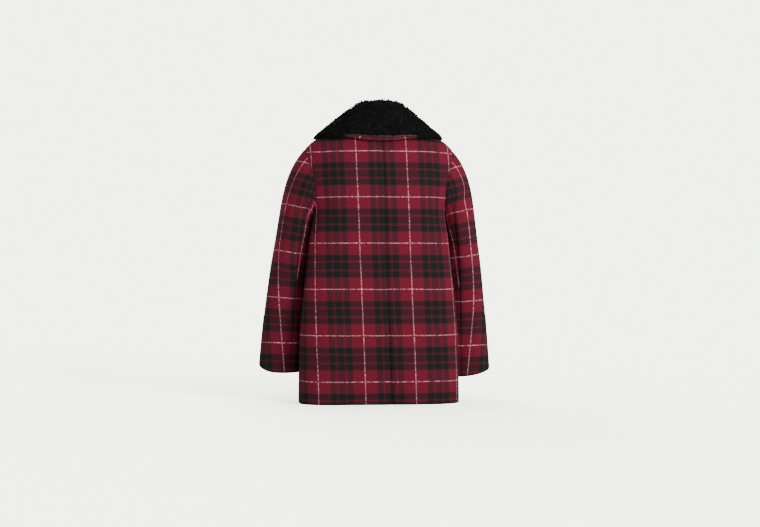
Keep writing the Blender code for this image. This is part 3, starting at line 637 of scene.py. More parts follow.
def plaid_wool(name):
    """Brushed twill in the plaid, with its lines a little uneven and the white ones slubbed."""
    material, shader = new_material(name, 0.92, shine=0.1, sheen=0.02)
    cut = Shade.node("ShaderNodeUVMap", {"uv_map": "flat cut"}, {})
    across = Shade.node("ShaderNodeSeparateXYZ", {}, {0: cut})
    upward = Shade(across.socket.node.outputs[1])
    wander, drift = Shade.noise(cut, 420.0, 2.0), Shade.noise(cut, 9.0, 1.0)
    shake = (wander - 0.5) * THREAD_WANDER + (drift - 0.5) * CLOTH_DRIFT
    warp_dark, warp_white = stripes(across + shake, WARP_REPEAT, WARP_LINE_DARKNESS)
    weft_dark, weft_white = stripes(upward + shake, WEFT_REPEAT, WEFT_LINE_DARKNESS)
    ground = weft_dark.mix(warp_dark.mix(RED, RED_OVER_DARK), warp_dark.mix(DARK_OVER_RED, BLACKISH))
    slub = ((Shade.noise(cut, 170.0, 3.0) - SLUB_GAPS) * SLUB_SHARPNESS).clamped()
    lines = (warp_white + weft_white).clamped() * (slub * 0.85 + 0.10)
    coloured = (lines * (1.0 - (warp_dark + weft_dark) * LINE_LOST_IN_DARK)).mix(ground, WHITE)
    fibre, worn = Shade.noise(cut, 1100.0, 2.0), Shade.noise(cut, 230.0, 3.0)
    light = (fibre - 0.5) * FIBRE_SHOWS + (worn - 0.5) * WEAR_SHOWS + 1.0
    grey = Shade.node("ShaderNodeCombineColor", {}, {0: light, 1: light, 2: light})
    by = {"data_type": "RGBA", "blend_type": "MULTIPLY"}
    coloured = Shade.node("ShaderNodeMix", by, {"Factor": 1.0, 6: coloured, 7: grey}, output=2)
    feed(shader, "Base Color", coloured)
    twill = ((across + upward) * (2 * math.pi / TWILL_PITCH)).math("SINE") * TWILL_SHOWS
    feed_bump(shader, fibre + twill, 0.35, 0.0006)
    return material


wool = plaid_wool("plaid wool")
BACK_WHITE = {"left": 0.070, "right": 0.062}
GRAIN_DRIFT = 0.0042
GRAIN_TOP_Z = -0.060
HEM_WHITE = 0.0587
LEVEL_FROM_X = 0.150
MANY = 20


def pattern(across, upward):
    """Flat places as UVs, counted in whole repeats so that they stay above 0."""
    return np.stack([across + MANY * WARP_REPEAT, upward + MANY * WEFT_REPEAT], axis=-1)


def dress(piece, node):
    """Hangs one piece of plaid cloth on the root and hides the imported part it stands for."""
    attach(piece, "root")
    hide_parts(node)


def body_piece(node, grid, across, back):
    """One body panel: folds, dipped seams and the plaid on a grid of the form."""
    normals = body_normal(grid)
    neck = neckline() if node.endswith("left") else mirrored(neckline())
    from_neck = np.stack([np.linalg.norm(row[:, None] - neck[None], axis=-1).min(axis=1) for row in grid])
    dip = seam_dip(from_borders(grid))
    if back:
        across = across + GRAIN_DRIFT * ease((GRAIN_TOP_Z - grid[..., 2]) / (GRAIN_TOP_Z - HEM_Z))
        from_seam = np.abs(grid[..., 0] - back_seam_x(grid[..., 2]))
        dip = dip + seam_dip(from_seam, BACK_SEAM_DIP, BACK_SEAM_DIP_WIDTH)
    lift = folded(grid) + dip * ease(from_neck / NECK_FLAT_RUN)
    beside = np.clip(grid[..., 0], -LEVEL_FROM_X, LEVEL_FROM_X)
    cut = pattern(across, flat_length_up(beside, grid[..., 2], back) - HEM_WHITE)
    dress(wall(f"{node}_cloth", grid + normals * lift[..., None], normals, cut, wool), node)


def with_vent_underlap(grid):
    """The right back with its vent extension, which runs under the left back below the vent top."""
    z = grid[:, :, 2]
    seam_x = back_seam_x(z) - SEAM_GAP
    beside = ease(1 - (seam_x - grid[..., 0]) / SINK_RUN)
    sink = UNDERLAP_SINK * beside * ease((VENT_TOP_Z + VENT_STEP_UP - z) / VENT_STEP_UP)
    sunk = grid - body_normal(grid) * sink[..., None]
    share = np.linspace(1, 0, VENT_COLUMNS)[None, :]
    reach = VENT_UNDERLAP * ease((VENT_TOP_Z - z[:, :1]) / VENT_SLANT)
    under = level_point(sunk[:, :1, 0] + reach * share, z[:, :1] + 0 * share, True)
    under = under - body_normal(under) * UNDERLAP_SINK
    inward = np.arange(VENT_COLUMNS)[None, :, None] / VENT_COLUMNS
    plain = sunk[:, :1] + (sunk[:, 1:2] - sunk[:, :1]) * inward
    bare = reach[..., None] <= VENT_LEAST
    return np.concatenate([np.where(bare, plain, under), sunk[:, 1:]], axis=1)


left_back = back_panel(True)
across = flat_length_across(left_back, True) - back_seam_x(left_back[..., 2]) - BACK_WHITE["left"]
body_piece("back_left", left_back, across, True)
right_back = with_vent_underlap(back_panel(False))
across = flat_length_across(right_back, True) - back_seam_x(right_back[..., 2]) + BACK_WHITE["right"]
body_piece("back_right", right_back, across, True)


# The two front halves, cut like the backs. The right one laps over the left and buttons to it, so
# the left lies one thickness further in along the overlap.
LAP_CLEAR = 0.002
BREAK_Z = -0.190
BREAK_RUN = 0.030
CELLS_FRONT = 74
FRONT_WHITE = 0.061


def front_panel():
    """The grid of one front panel, made on the wearer's left, past the centre by the overlap."""
    low = np.stack([level_row(-OVERLAP, z, False, CELLS_FRONT) for z in low_levels()])
    _, before = split_at_shoulder(neckline())
    rows = CELLS_TO_ARMPIT + CELLS_AT_ARMHOLE + 1
    edge = points_at(before[::-1], np.linspace(0, lengths(before)[-1], rows))
    shares = lengths(low[-1]) / lengths(low[-1])[-1]
    high = patch(edge, side_border(False), low[-1], shoulder_border(False, shares))
    return np.concatenate([low, on_body_inside(high)[1:]])


def sunk_under(grid):
    """The left front, moved in where the right front laps over it."""
    past = ease((OVERLAP + LAP_CLEAR + SINK_RUN - grid[..., 0]) / SINK_RUN)
    below_break = ease((BREAK_Z - grid[..., 2]) / BREAK_RUN)
    return grid - body_normal(grid) * (UNDERLAP_SINK * past * below_break)[..., None]


left_front = front_panel()
across = flat_length_across(left_front, False) - FRONT_WHITE
body_piece("front_right", mirrored(left_front), -across, False)
body_piece("front_left", sunk_under(left_front), across, False)


# The sleeves: each is a top and an under piece of the same cloth, sewn lengthways and set into the
# armhole. The grain of each piece turns round the arm on its way down, as the tables give.
SLEEVE_COLUMNS = ("z", "x", "y", "half_across", "half_deep", "tilt")
SLEEVE = (
    (-0.236, 0.2190, -0.026, 0.0430, 0.0650, 8.0),
    (-0.297, 0.2275, -0.036, 0.0440, 0.0630, 6.0),
    (-0.371, 0.2369, -0.048, 0.0466, 0.0600, 5.0),
    (-0.424, 0.2419, -0.057, 0.0486, 0.0570, 5.0),
    (-0.509, 0.2482, -0.068, 0.0523, 0.0515, 6.0),
    (-0.594, 0.2540, -0.075, 0.0545, 0.0460, 8.0),
    (-0.643, 0.2560, -0.078, 0.0565, 0.0430, 10.0),
)
SLEEVE_LEAN_FORWARD = 5.0
LEFT_SLEEVE_DROP = -0.004
RIGHT_SLEEVE_DROP = 0.006
SLEEVE_LEAN_FORWARD = 5.0
SLEEVE_DROP_RUN = 0.35
SLEEVE_SQUARENESS = 2.15
SLEEVE_GAP_ANGLE = -0.12

# The sleeve head: how it leaves the armhole outwards and down, how much of that changes round the
# armhole, how far it keeps that way, and where under the arm it stands clear of the body.
HEAD_OUT = 0.40
HEAD_SPREAD = 0.27
HEAD_DOWN = -0.85
HEAD_LESS_DOWN = 0.15
HEAD_PULL = 1.05
HEAD_CROWDING = 1.25
UNDERARM_SPREAD = 100
UNDERARM_FADE = 70

BACK_ARM_SEAM = 20
FRONT_ARM_SEAM = 20
CAP_RINGS = 46
ARM_RINGS = 104
GRAIN_COLUMNS = ("z", "top_left", "top_right", "under_left", "under_right")
GRAIN = (
    (-0.100, 46, 52, 140, 160),
    (-0.153, 46, 58, 136, 157),
    (-0.192, 43, 73, 133, 153),
    (-0.234, 41, 71, 131, 147),
    (-0.297, 42, 72, 128, 134),
    (-0.365, 54, 73, 122, 126),
    (-0.450, 69, 76, 110, 112),
    (-0.525, 82, 85, 104, 104),
    (-0.585, 91, 93, 100, 100),
    (-0.640, 98, 100, 98, 98),
)
# How far the plaid's level lines tilt on the sleeve, by height.
WEFT_TILT = ((-0.21, 0.22), (-0.33, 0.155), (-0.45, 0.08), (-0.57, 0.015), (-0.65, 0.0))
SLEEVE_WHITE = {"left": -0.3285, "right": -0.3385}

# Soft folds of the sleeve, each with its side, its place round the arm, its top and bottom, how
# wide it is in degrees, how far it lifts the cloth, and how far round the arm it drifts.
ARM_FOLDS = (
    ("both", 128, -0.150, -0.420, 13, -0.0040, -8),
    ("both", 104, -0.170, -0.400, 14, 0.0022, -6),
    ("both", 60, -0.200, -0.520, 22, 0.0018, 12),
    ("left", 150, -0.240, -0.520, 14, -0.0030, -20),
    ("right", 146, -0.230, -0.560, 15, -0.0034, -24),
    ("left", 75, -0.420, -0.620, 16, -0.0020, 10),
    ("right", 82, -0.400, -0.600, 14, -0.0022, 12),
    ("left", 235, -0.180, -0.420, 16, -0.0035, 10),
    ("right", 232, -0.190, -0.440, 16, -0.0035, 8),
    ("both", 268, -0.300, -0.560, 24, 0.0020, -16),
    ("both", 184, -0.200, -0.600, 40, 0.0036, 0),
    ("left", 150, -0.190, -0.330, 20, 0.0022, 0),
    ("both", 108, -0.080, -0.250, 17, -0.0050, 6),
    ("both", 300, -0.380, -0.620, 18, -0.0018, 10),
)
# Where the cuff's edge hangs lower or higher: side, place round the arm, width in degrees, drop.
CUFF_SAG = (
    ("left", 62, 46, 0.0085),
    ("left", 180, 50, -0.0040),
    ("right", 84, 64, 0.0070),
)
CUFF_SAG_RUN = 0.11
# Creases at the elbow: side, place round the arm, height, slant, how high, how wide, and rise.
ELBOW_CREASES = (
    ("left", 200, -0.372, 0.030, 0.010, 38, -0.0026),
    ("left", 215, -0.405, -0.020, 0.009, 32, -0.0020),
    ("right", 205, -0.382, 0.022, 0.010, 36, -0.0026),
    ("right", 196, -0.420, -0.026, 0.009, 34, -0.0019),
    ("both", 170, -0.262, 0.030, 0.009, 26, -0.0022),
)
ARM_FOLD_FADE = 0.09
FOLDS_FROM_ARMHOLE = 0.05
DIPS_FROM_ARMHOLE = 0.008
sleeve_curves = [curve_of(SLEEVE, SLEEVE_COLUMNS, name) for name in SLEEVE_COLUMNS[1:]]


def sleeve_ring(z, degrees):
    """One section of the wearer's left sleeve: 0 outermost, 90 behind, 180 towards the body."""
    x, y, half_across, half_deep, tilt = (float(curve(z)) for curve in sleeve_curves)
    a = np.radians(degrees)
    power = 2 / SLEEVE_SQUARENESS
    out = half_across * np.sign(np.cos(a)) * np.abs(np.cos(a)) ** power
    behind = half_deep * np.sign(np.sin(a)) * np.abs(np.sin(a)) ** power
    rise = math.tan(math.radians(tilt)) * out - math.tan(math.radians(SLEEVE_LEAN_FORWARD)) * behind
    return np.stack([x + out, y + behind, z + rise], axis=-1)


def leaving_direction(degrees):
    """The way in which the sleeve head leaves the armhole seam."""
    a = np.radians(degrees)
    out = HEAD_OUT + HEAD_SPREAD * np.cos(a) + HEAD_SPREAD * np.sin(a) ** 2
    down = HEAD_DOWN + HEAD_LESS_DOWN * np.cos(a)
    return unit(np.stack([out, HEAD_SPREAD * np.sin(a), down], axis=-1))


def sleeve_grid(degrees):
    """Rings of the wearer's left sleeve from the armhole to the cuff, at the given angles."""
    seam = armhole(degrees, -ARMHOLE_GAP)
    under_arm = ease((UNDERARM_SPREAD - np.abs(degrees % 360 - 180)) / UNDERARM_FADE)[:, None]
    seam = seam + body_normal(seam) * UNDERARM_CLEAR * under_arm
    top_z, cuff_z = SLEEVE[0][0], SLEEVE[-1][0]
    ring = sleeve_ring(top_z, degrees)
    reach = np.linalg.norm(ring - seam, axis=-1, keepdims=True)
    start = leaving_direction(degrees) * reach * HEAD_PULL
    end = unit(sleeve_ring(top_z - 0.01, degrees) - ring) * reach
    rings = [hermite(seam, start, ring, end, t) for t in np.linspace(0, 1, CAP_RINGS) ** HEAD_CROWDING]
    edge = np.array(EDGE_CELLS[::-1])
    heights = [*np.linspace(top_z, cuff_z + edge[0], ARM_RINGS)[1:], *(cuff_z + edge[1:])]
    return np.stack(rings + [sleeve_ring(z, degrees) for z in heights])


def arm_folded(degrees, z, side):
    """How far the sleeve's folds lift the cloth at each angle and height."""
    lift = np.zeros(z.shape)
    for which, angle, top, bottom, width, rise, drift in ARM_FOLDS:
        if which in ("both", side):
            share = ease((top - z) / ARM_FOLD_FADE) * ease((z - bottom) / ARM_FOLD_FADE)
            middle = angle + drift * (top - z) / (top - bottom)
            lift = lift + rise * share * np.exp(-(((degrees % 360 - middle) / width) ** 2))
    for which, angle, height, slant, high, wide, rise in ELBOW_CREASES:
        if which in ("both", side):
            round_arm = (degrees % 360 - angle) / wide
            lift = lift + rise * np.exp(-(((z - height - slant * round_arm) / high) ** 2) - round_arm**2)
    return lift


def sleeve_cut(grid, degrees, z_rings, side, piece):
    """Flat places of a sleeve piece: round from its grain line, and along from the top ring."""
    whole = np.arange(0, 361, 3.0)
    grain = curve_of(GRAIN, GRAIN_COLUMNS, f"{piece}_{side}")(z_rings)
    place = np.where(degrees > 360, degrees - 360, degrees)
    across = np.empty(grid.shape[:2])
    for i, line in enumerate(row_lengths(sleeve_grid(whole))):
        at = np.interp(place, whole, line) + np.where(degrees > 360, line[-1], 0)
        start = np.interp(grain[i], whole, line) + (line[-1] if degrees[-1] > 360 else 0)
        across[i] = at - start
    tilt = smooth(*np.transpose(WEFT_TILT))(grid[..., 2])
    centre = grid[..., 0].mean(axis=1, keepdims=True)
    upward = grid[..., 2] - tilt * (grid[..., 0] - SLEEVE[0][1] - (centre - centre[CAP_RINGS - 1]))
    climb = np.linalg.norm(np.diff(grid[:CAP_RINGS], axis=0), axis=-1)[::-1]
    upward[: CAP_RINGS - 1] = upward[CAP_RINGS - 1] + np.cumsum(climb, axis=0)[::-1]
    return pattern(across, upward - SLEEVE_WHITE[side])


def sleeve_piece(name, degrees, side, drop):
    """One sleeve piece: folds, dipped seams and the plaid on a grid of the arm."""
    grid = sleeve_grid(degrees)
    around = sleeve_grid(degrees + 0.5) - sleeve_grid(degrees - 0.5)
    outward = unit(np.cross(np.gradient(grid, axis=0), around))
    z_rings = grid[..., 2].mean(axis=1)
    let_down = drop * ease((SLEEVE[0][0] - grid[..., 2]) / SLEEVE_DROP_RUN)
    near_cuff = ease((SLEEVE[-1][0] + CUFF_SAG_RUN - z_rings) / CUFF_SAG_RUN)[:, None]
    for which, angle, wide, sag in CUFF_SAG:
        if which == side:
            let_down += sag * near_cuff * np.exp(-(((degrees % 360 - angle) / wide) ** 2))[None, :]
    grid[..., 2] -= let_down
    cut = sleeve_cut(grid, degrees, z_rings, side, name)
    from_armhole = lengths(grid[:, len(degrees) // 2])[:, None]
    folds = arm_folded(degrees[None, :], z_rings[:, None] + 0 * grid[..., 2], side)
    dips = seam_dip(from_borders(grid)) * ease(from_armhole / DIPS_FROM_ARMHOLE)
    lift = folds * ease(from_armhole / FOLDS_FROM_ARMHOLE) + dips
    at_armhole = seam_dip(from_armhole)[..., None] * body_normal(armhole(degrees))
    face = grid + outward * lift[..., None] + at_armhole
    if side == "right":
        face, outward = mirrored(face), mirrored(outward)
    dress(wall(f"sleeve_{name}_{side}_cloth", face, outward, cut, wool), f"sleeve_{name}_{side}")


behind_arm, before_arm = armhole_stops(True, CELLS_AT_ARMHOLE), armhole_stops(False, CELLS_AT_ARMHOLE)
top_sweep = np.concatenate([before_arm[FRONT_ARM_SEAM:], 360 + behind_arm[-2 : BACK_ARM_SEAM - 1 : -1]])
under_sweep = np.concatenate([behind_arm[BACK_ARM_SEAM:0:-1], before_arm[: FRONT_ARM_SEAM + 1]])
for sweep in (top_sweep, under_sweep):
    sweep[0] += SLEEVE_GAP_ANGLE
    sweep[-1] -= SLEEVE_GAP_ANGLE
for side, drop in (("left", LEFT_SLEEVE_DROP), ("right", RIGHT_SLEEVE_DROP)):
    sleeve_piece("top", top_sweep, side, drop)
    sleeve_piece("under", under_sweep, side, drop)


# The wool collar: a stand at the neck seam and a fall that rolls over it, in the plaid. Only its
# lower edge shows at the back, under the pile collar.
COLLAR_SEAM_GAP = -0.0003
COLLAR_STATIONS = 170
STAND_STEPS = 8
FALL_STEPS = 34
COLLAR_WHITE = 0.0615
COLLAR_HEM = 0.022
BARE_STOPS = np.array([0.75, 0.5, 0.3, 0.15, 0.0])

# The stand turns from upright at the back to square with the body in front. It takes part of the
# height of the roll, and the fall then lifts over it and lands flat on the collar's edge.
TURN_FROM = 0.15
TURN_RUN = 0.45
SEAM_UP = 0.8
SEAM_OUT = 0.6
STAND_SHARE = 0.5
STAND_INWARD = 0.06
ROLL_PULL = 1.15
LANDING_PULL = 0.45
FALL_CROWDING = 0.9


def collar_lines():
    """Neck seam, edge on the body, roll, hang and bare strip on the wearer's left, by station."""
    at = np.linspace(0, len(COLLAR) - 1, COLLAR_STATIONS // 2 + 1)
    i = np.clip(at.astype(int), 0, len(COLLAR) - 2)

    def line(name):
        first = COLLAR_COLUMNS.index(name)
        points = np.array([row[first : first + 3] for row in COLLAR])
        slope = np.gradient(points, axis=0)
        slope[0, 1:] = 0
        return on_body(hermite(points[i], slope[i], points[i + 1], slope[i + 1], (at - i)[:, None]))

    def measure(name):
        return smooth(np.arange(len(COLLAR), dtype=float), column(COLLAR, COLLAR_COLUMNS, name))(at)

    share = at / (len(COLLAR) - 1)
    return line("neck_x"), line("edge_x"), measure("roll"), measure("hang"), measure("bare"), share


def without(vectors, direction):
    """Vectors less their part along a direction, of length 1."""
    return unit(vectors - direction * (vectors * direction).sum(-1, keepdims=True))


def collar_half():
    """Points of the collar's visible face on the wearer's left: stations by places on the profile."""
    neck, foot, roll, hang, bare, share = collar_lines()
    neck_normal, foot_normal = body_normal(neck), body_normal(foot)
    turn = ease((share - TURN_FROM) / TURN_RUN)[:, None]
    stand = unit((1 - turn) * np.array([0.0, 0.0, 1.0]) + turn * neck_normal)
    edge = foot + foot_normal * hang[:, None]
    height = roll[:, None]
    base = neck + (stand * SEAM_UP + neck_normal * SEAM_OUT) * COLLAR_SEAM_GAP
    inward = -without(edge - neck, stand)
    shoulder = base + stand * height * STAND_SHARE + inward * height * STAND_INWARD
    lift = shoulder + stand * height * ROLL_PULL
    reach = np.linalg.norm(edge - shoulder, axis=-1, keepdims=True)
    land = edge - without(edge - neck, foot_normal) * reach * LANDING_PULL
    rows = [base + (shoulder - base) * t for t in np.linspace(0, 1, STAND_STEPS, endpoint=False)]
    for t in np.linspace(0, 1, FALL_STEPS) ** FALL_CROWDING:
        u = 1 - t
        rows.append(shoulder * u**3 + lift * 3 * t * u**2 + land * 3 * t * t * u + edge * t**3)
    grid = []
    for line, strip in zip(np.stack(rows, axis=1), bare):
        along = lengths(line)
        stops = np.concatenate([along * (1 - strip / along[-1]), along[-1] - strip * BARE_STOPS])
        grid.append(points_at(line, stops))
    return np.stack(grid)


half = collar_half()
collar_face = np.concatenate([mirrored(half[:0:-1]), half])
collar_normals = unit(np.cross(np.gradient(collar_face, axis=0), np.gradient(collar_face, axis=1)))
edge_line = collar_face[:, -1]
edge_across = lengths(edge_line) - lengths(edge_line)[len(edge_line) // 2]
from_edge = row_lengths(collar_face[:, ::-1])[:, ::-1]
cut = pattern(edge_across[:, None] - COLLAR_WHITE + 0 * from_edge, COLLAR_HEM - from_edge)
dress(wall("collar_cloth", collar_face, collar_normals, cut, wool), "collar")


# The pile collar: curly black wool pile on a knitted ground, laid over the wool collar from its
# stand to its edge. A ground of soft lumps carries loose curls, sewn in as one joined mesh.
PILE_GROUND = 0.0062
PILE_EDGE = 0.0026
PILE_LIFT = 0.0009
PILE_ROUNDING = 0.014
PILE_ROUND_SHARE = 0.3
PILE_END_STATIONS = 14
PILE_FROM_ROW = 3
LUMP_HEIGHT = 0.0012

# The pile droops over the edge at the collar's tips, and stands fuller on the roll behind.
DROOP = 0.0065
DROOP_FROM_X = 0.088
DROOP_TO_Y = -0.035
DROOP_RUN = 0.030
ROLL_LOFT = 0.0062
ROLL_LOFT_X = 0.012
ROLL_LOFT_HALF = 0.076
ROLL_LOFT_DEEP = 0.016

# Loose curls, each a bent strand: so many over all the pile and so many of them along the drooping
# edge, how thick a strand is, how far it swings, how high it rises and how deep it is rooted.
CURL_COUNT = 5200
EDGE_CURLS = 1100
EDGE_CURLS_FROM = 0.3
CURL_SIDES = 3
CURL_RINGS = 7
CURL_RADIUS = 0.00095
CURL_TAPER = 0.55
CURL_TURN = 0.0026
EDGE_CURL_TURN = 0.0048
CURL_WHOLE_TURNS = 1.05
CURL_RISE = 0.0033
CURL_ROOT = 0.0012
CURL_LEAST_SIZE = 0.7
CURL_SIZE_SPREAD = 0.6


def lumps(points):
    """Soft uneven lumps of the pile, between -1 and 1."""
    x, y, z = points[..., 0], points[..., 1], points[..., 2]
    total = np.zeros(x.shape)
    for reach, share, turn in ((0.013, 0.5, 0.3), (0.0074, 0.35, 1.7), (0.0041, 0.25, 4.1)):
        a = (x + 0.6 * y) / reach + turn
        b = (y - 0.4 * z) / reach + 2.1 * turn
        c = (z + 0.5 * x) / reach + 0.7 * turn
        total = total + share * np.sin(a + 1.3 * np.sin(b)) * np.cos(c + 1.1 * np.sin(a * 0.7))
    return total


pile_row = collar_face[:, PILE_FROM_ROW : -len(BARE_STOPS)]
pile_away = collar_normals[:, PILE_FROM_ROW : -len(BARE_STOPS)]
stations = np.arange(len(pile_row))
from_end = np.minimum(stations, stations[::-1])[:, None]
along = row_lengths(pile_row)
whole = along[:, -1:]
reach = np.minimum(PILE_ROUNDING, PILE_ROUND_SHARE * whole)
from_side = np.clip(np.minimum(along, whole - along) / reach, 0, 1)
rounding = np.sqrt(1 - (1 - from_side) ** 2)
from_end = np.minimum(1.0, (0.5 + from_end) / PILE_END_STATIONS)
full = PILE_EDGE + (PILE_GROUND - PILE_EDGE) * from_end**0.5
depth = PILE_EDGE * 0.6 + (full - PILE_EDGE * 0.6) * rounding
top = pile_row + pile_away * (PILE_LIFT + depth)[..., None]
top = top + pile_away * (lumps(top) * LUMP_HEIGHT * rounding)[..., None]
below_roll = pile_row[..., 2].max(axis=1, keepdims=True) - pile_row[..., 2]
beside_roll = (pile_row[..., 0] - ROLL_LOFT_X) / ROLL_LOFT_HALF
top[..., 2] += ROLL_LOFT * np.exp(-((below_roll / ROLL_LOFT_DEEP) ** 2) - beside_roll**4)
droop = ease((np.abs(edge_line[:, 0]) - DROOP_FROM_X) / DROOP_RUN)
droop = droop * ease((edge_line[:, 1] - DROOP_TO_Y) / DROOP_RUN)
over_edge = unit(unit(edge_line - pile_row[:, -1]) + np.array([0.0, 0.0, -1.0]))
top = top + over_edge[:, None] * (DROOP * droop[:, None] * (along / whole) ** 4)[..., None]
rings = np.concatenate([pile_row + pile_away * PILE_LIFT, top[:, ::-1]], axis=1)


def closed_loft(name, rings, material):
    """A closed mesh over a row of closed rings, with flat ends."""
    count, around = rings.shape[:2]
    at = np.arange(count * around).reshape(count, around)
    after = np.roll(at, -1, axis=1)
    quads = np.stack([at[:-1], after[:-1], after[1:], at[1:]], axis=-1).reshape(-1, 4).tolist()
    return new_piece(name, rings, [at[0][::-1].tolist(), at[-1].tolist()] + quads, material)


def pile_black(name, roughness):
    """Black wool pile, a little lighter where the curls catch light."""
    material, shader = new_material(name, roughness, shine=0.2, sheen=0.02)
    place = Shade.node("ShaderNodeTexCoord", {}, {}, output="Object")
    tuft = Shade.noise(place, 260.0, 3.0)
    colour = ((tuft - 0.35) * 2.2).clamped().mix((0.0035, 0.0035, 0.0036, 1), (0.0120, 0.0118, 0.0114, 1))
    feed(shader, "Base Color", colour)
    feed_bump(shader, tuft, 0.7, 0.0015)
    return material


pile = pile_black("black pile", 0.95)
pile_ground = closed_loft("pile_ground", rings, pile)

rng = np.random.default_rng(7)
corner, along_edge, down = top[:-1, :-1], top[1:, :-1], top[:-1, 1:]
patch_size = np.linalg.norm(np.cross(along_edge - corner, down - corner), axis=-1)
chance = patch_size.reshape(-1) / patch_size.sum()
i, j = np.unravel_index(rng.choice(len(chance), size=CURL_COUNT, p=chance), patch_size.shape)
i[:EDGE_CURLS] = rng.choice(np.nonzero(droop[:-1] > EDGE_CURLS_FROM)[0], size=EDGE_CURLS)
j[:EDGE_CURLS] = top.shape[1] - 2 - rng.integers(0, 3, size=EDGE_CURLS)
s, t = rng.random(CURL_COUNT)[:, None], rng.random(CURL_COUNT)[:, None]
near, far = top[i, j] * (1 - s) + top[i + 1, j] * s, top[i, j + 1] * (1 - s) + top[i + 1, j + 1] * s
roots = near * (1 - t) + far * t
away = unit(pile_away[i, j])
side_way = unit(np.cross(away, rng.normal(size=(CURL_COUNT, 3))))
side_way[:EDGE_CURLS] = unit(over_edge[i[:EDGE_CURLS]] + side_way[:EDGE_CURLS] * 0.5)
swing_size = np.where(np.arange(CURL_COUNT) < EDGE_CURLS, EDGE_CURL_TURN, CURL_TURN)[:, None]
other_way = np.cross(away, side_way)
size = (CURL_LEAST_SIZE + CURL_SIZE_SPREAD * rng.random(CURL_COUNT))[:, None]
turns = np.linspace(0, 1, CURL_RINGS)
paths = []
for turn in turns:
    angle = 2 * math.pi * CURL_WHOLE_TURNS * turn
    swing = (1 - math.cos(angle)) * side_way + math.sin(angle) * other_way * 0.9
    height = CURL_RISE * math.sin(math.pi * min(1.0, 0.15 + 0.75 * turn)) - CURL_ROOT * (1 - turn)
    paths.append(roots + swing * swing_size * 0.7 * size + away * height * size)
paths = np.stack(paths, axis=1)
direction = unit(np.gradient(paths, axis=1))
first = unit(np.cross(direction, away[:, None, :] + 0.01))
second = np.cross(direction, first)
thin = CURL_RADIUS * (1 - CURL_TAPER * turns[None, :, None] ** 2) * size[:, None, :]
angles = [2 * math.pi * k / CURL_SIDES for k in range(CURL_SIDES)]
curls = np.stack([paths + (first * math.cos(a) + second * math.sin(a)) * thin for a in angles], axis=2)
at = np.arange(CURL_RINGS * CURL_SIDES).reshape(CURL_RINGS, CURL_SIDES)
after = np.roll(at, -1, axis=1)
one = np.stack([at[:-1], after[:-1], after[1:], at[1:]], axis=-1).reshape(-1, 4)
caps = np.array([at[0][::-1], at[-1]])
shift = (np.arange(CURL_COUNT) * at.size)[:, None, None]
faces = (one[None] + shift).reshape(-1, 4).tolist() + (caps[None] + shift).reshape(-1, 3).tolist()
pile_curls = new_piece("pile_curls", curls, faces, pile)
for piece in (pile_ground, pile_curls):
    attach(piece, "root")
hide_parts("pile_collar")


# The binding: smooth dark woven tape, folded over the cut edge of the pile collar and sewn down
# with it on the wool collar. It runs round the whole outer edge as one soft cord.
BINDING_RADIUS = 0.0019
BINDING_SIDES = 10
binding_from = collar_face[:, -len(BARE_STOPS) - 1]
binding_to = unit(collar_face[:, -1] - binding_from)
binding_up = collar_normals[:, -len(BARE_STOPS) - 1]
line = binding_from + binding_to * (BINDING_RADIUS + SEAM_GAP) + binding_up * (PILE_LIFT + BINDING_RADIUS)


def tube(line, up, radius, sides):
    """Rings of a round cord along a line, each from its upper side round."""
    aside = np.cross(unit(np.gradient(line, axis=0)), up)
    turn = np.linspace(0, 2 * math.pi, sides, endpoint=False)[None, :, None]
    return line[:, None] + (up[:, None] * np.cos(turn) + aside[:, None] * np.sin(turn)) * radius


def mottled(name, roughness, scale, detail, dark, light):
    """A plain material whose colour drifts between two shades."""
    material, shader = new_material(name, roughness)
    place = Shade.node("ShaderNodeTexCoord", {}, {}, output="Object")
    feed(shader, "Base Color", Shade.noise(place, scale, detail).mix(dark, light))
    return material


tape = mottled("binding tape", 0.55, 900.0, 1.0, (0.018, 0.020, 0.022, 1), (0.034, 0.038, 0.040, 1))
binding_up = without(binding_up, unit(np.gradient(line, axis=0)))
binding = closed_loft("pile_binding_tape", tube(line, binding_up, BINDING_RADIUS, BINDING_SIDES), tape)
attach(binding, "root")
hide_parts("pile_binding")


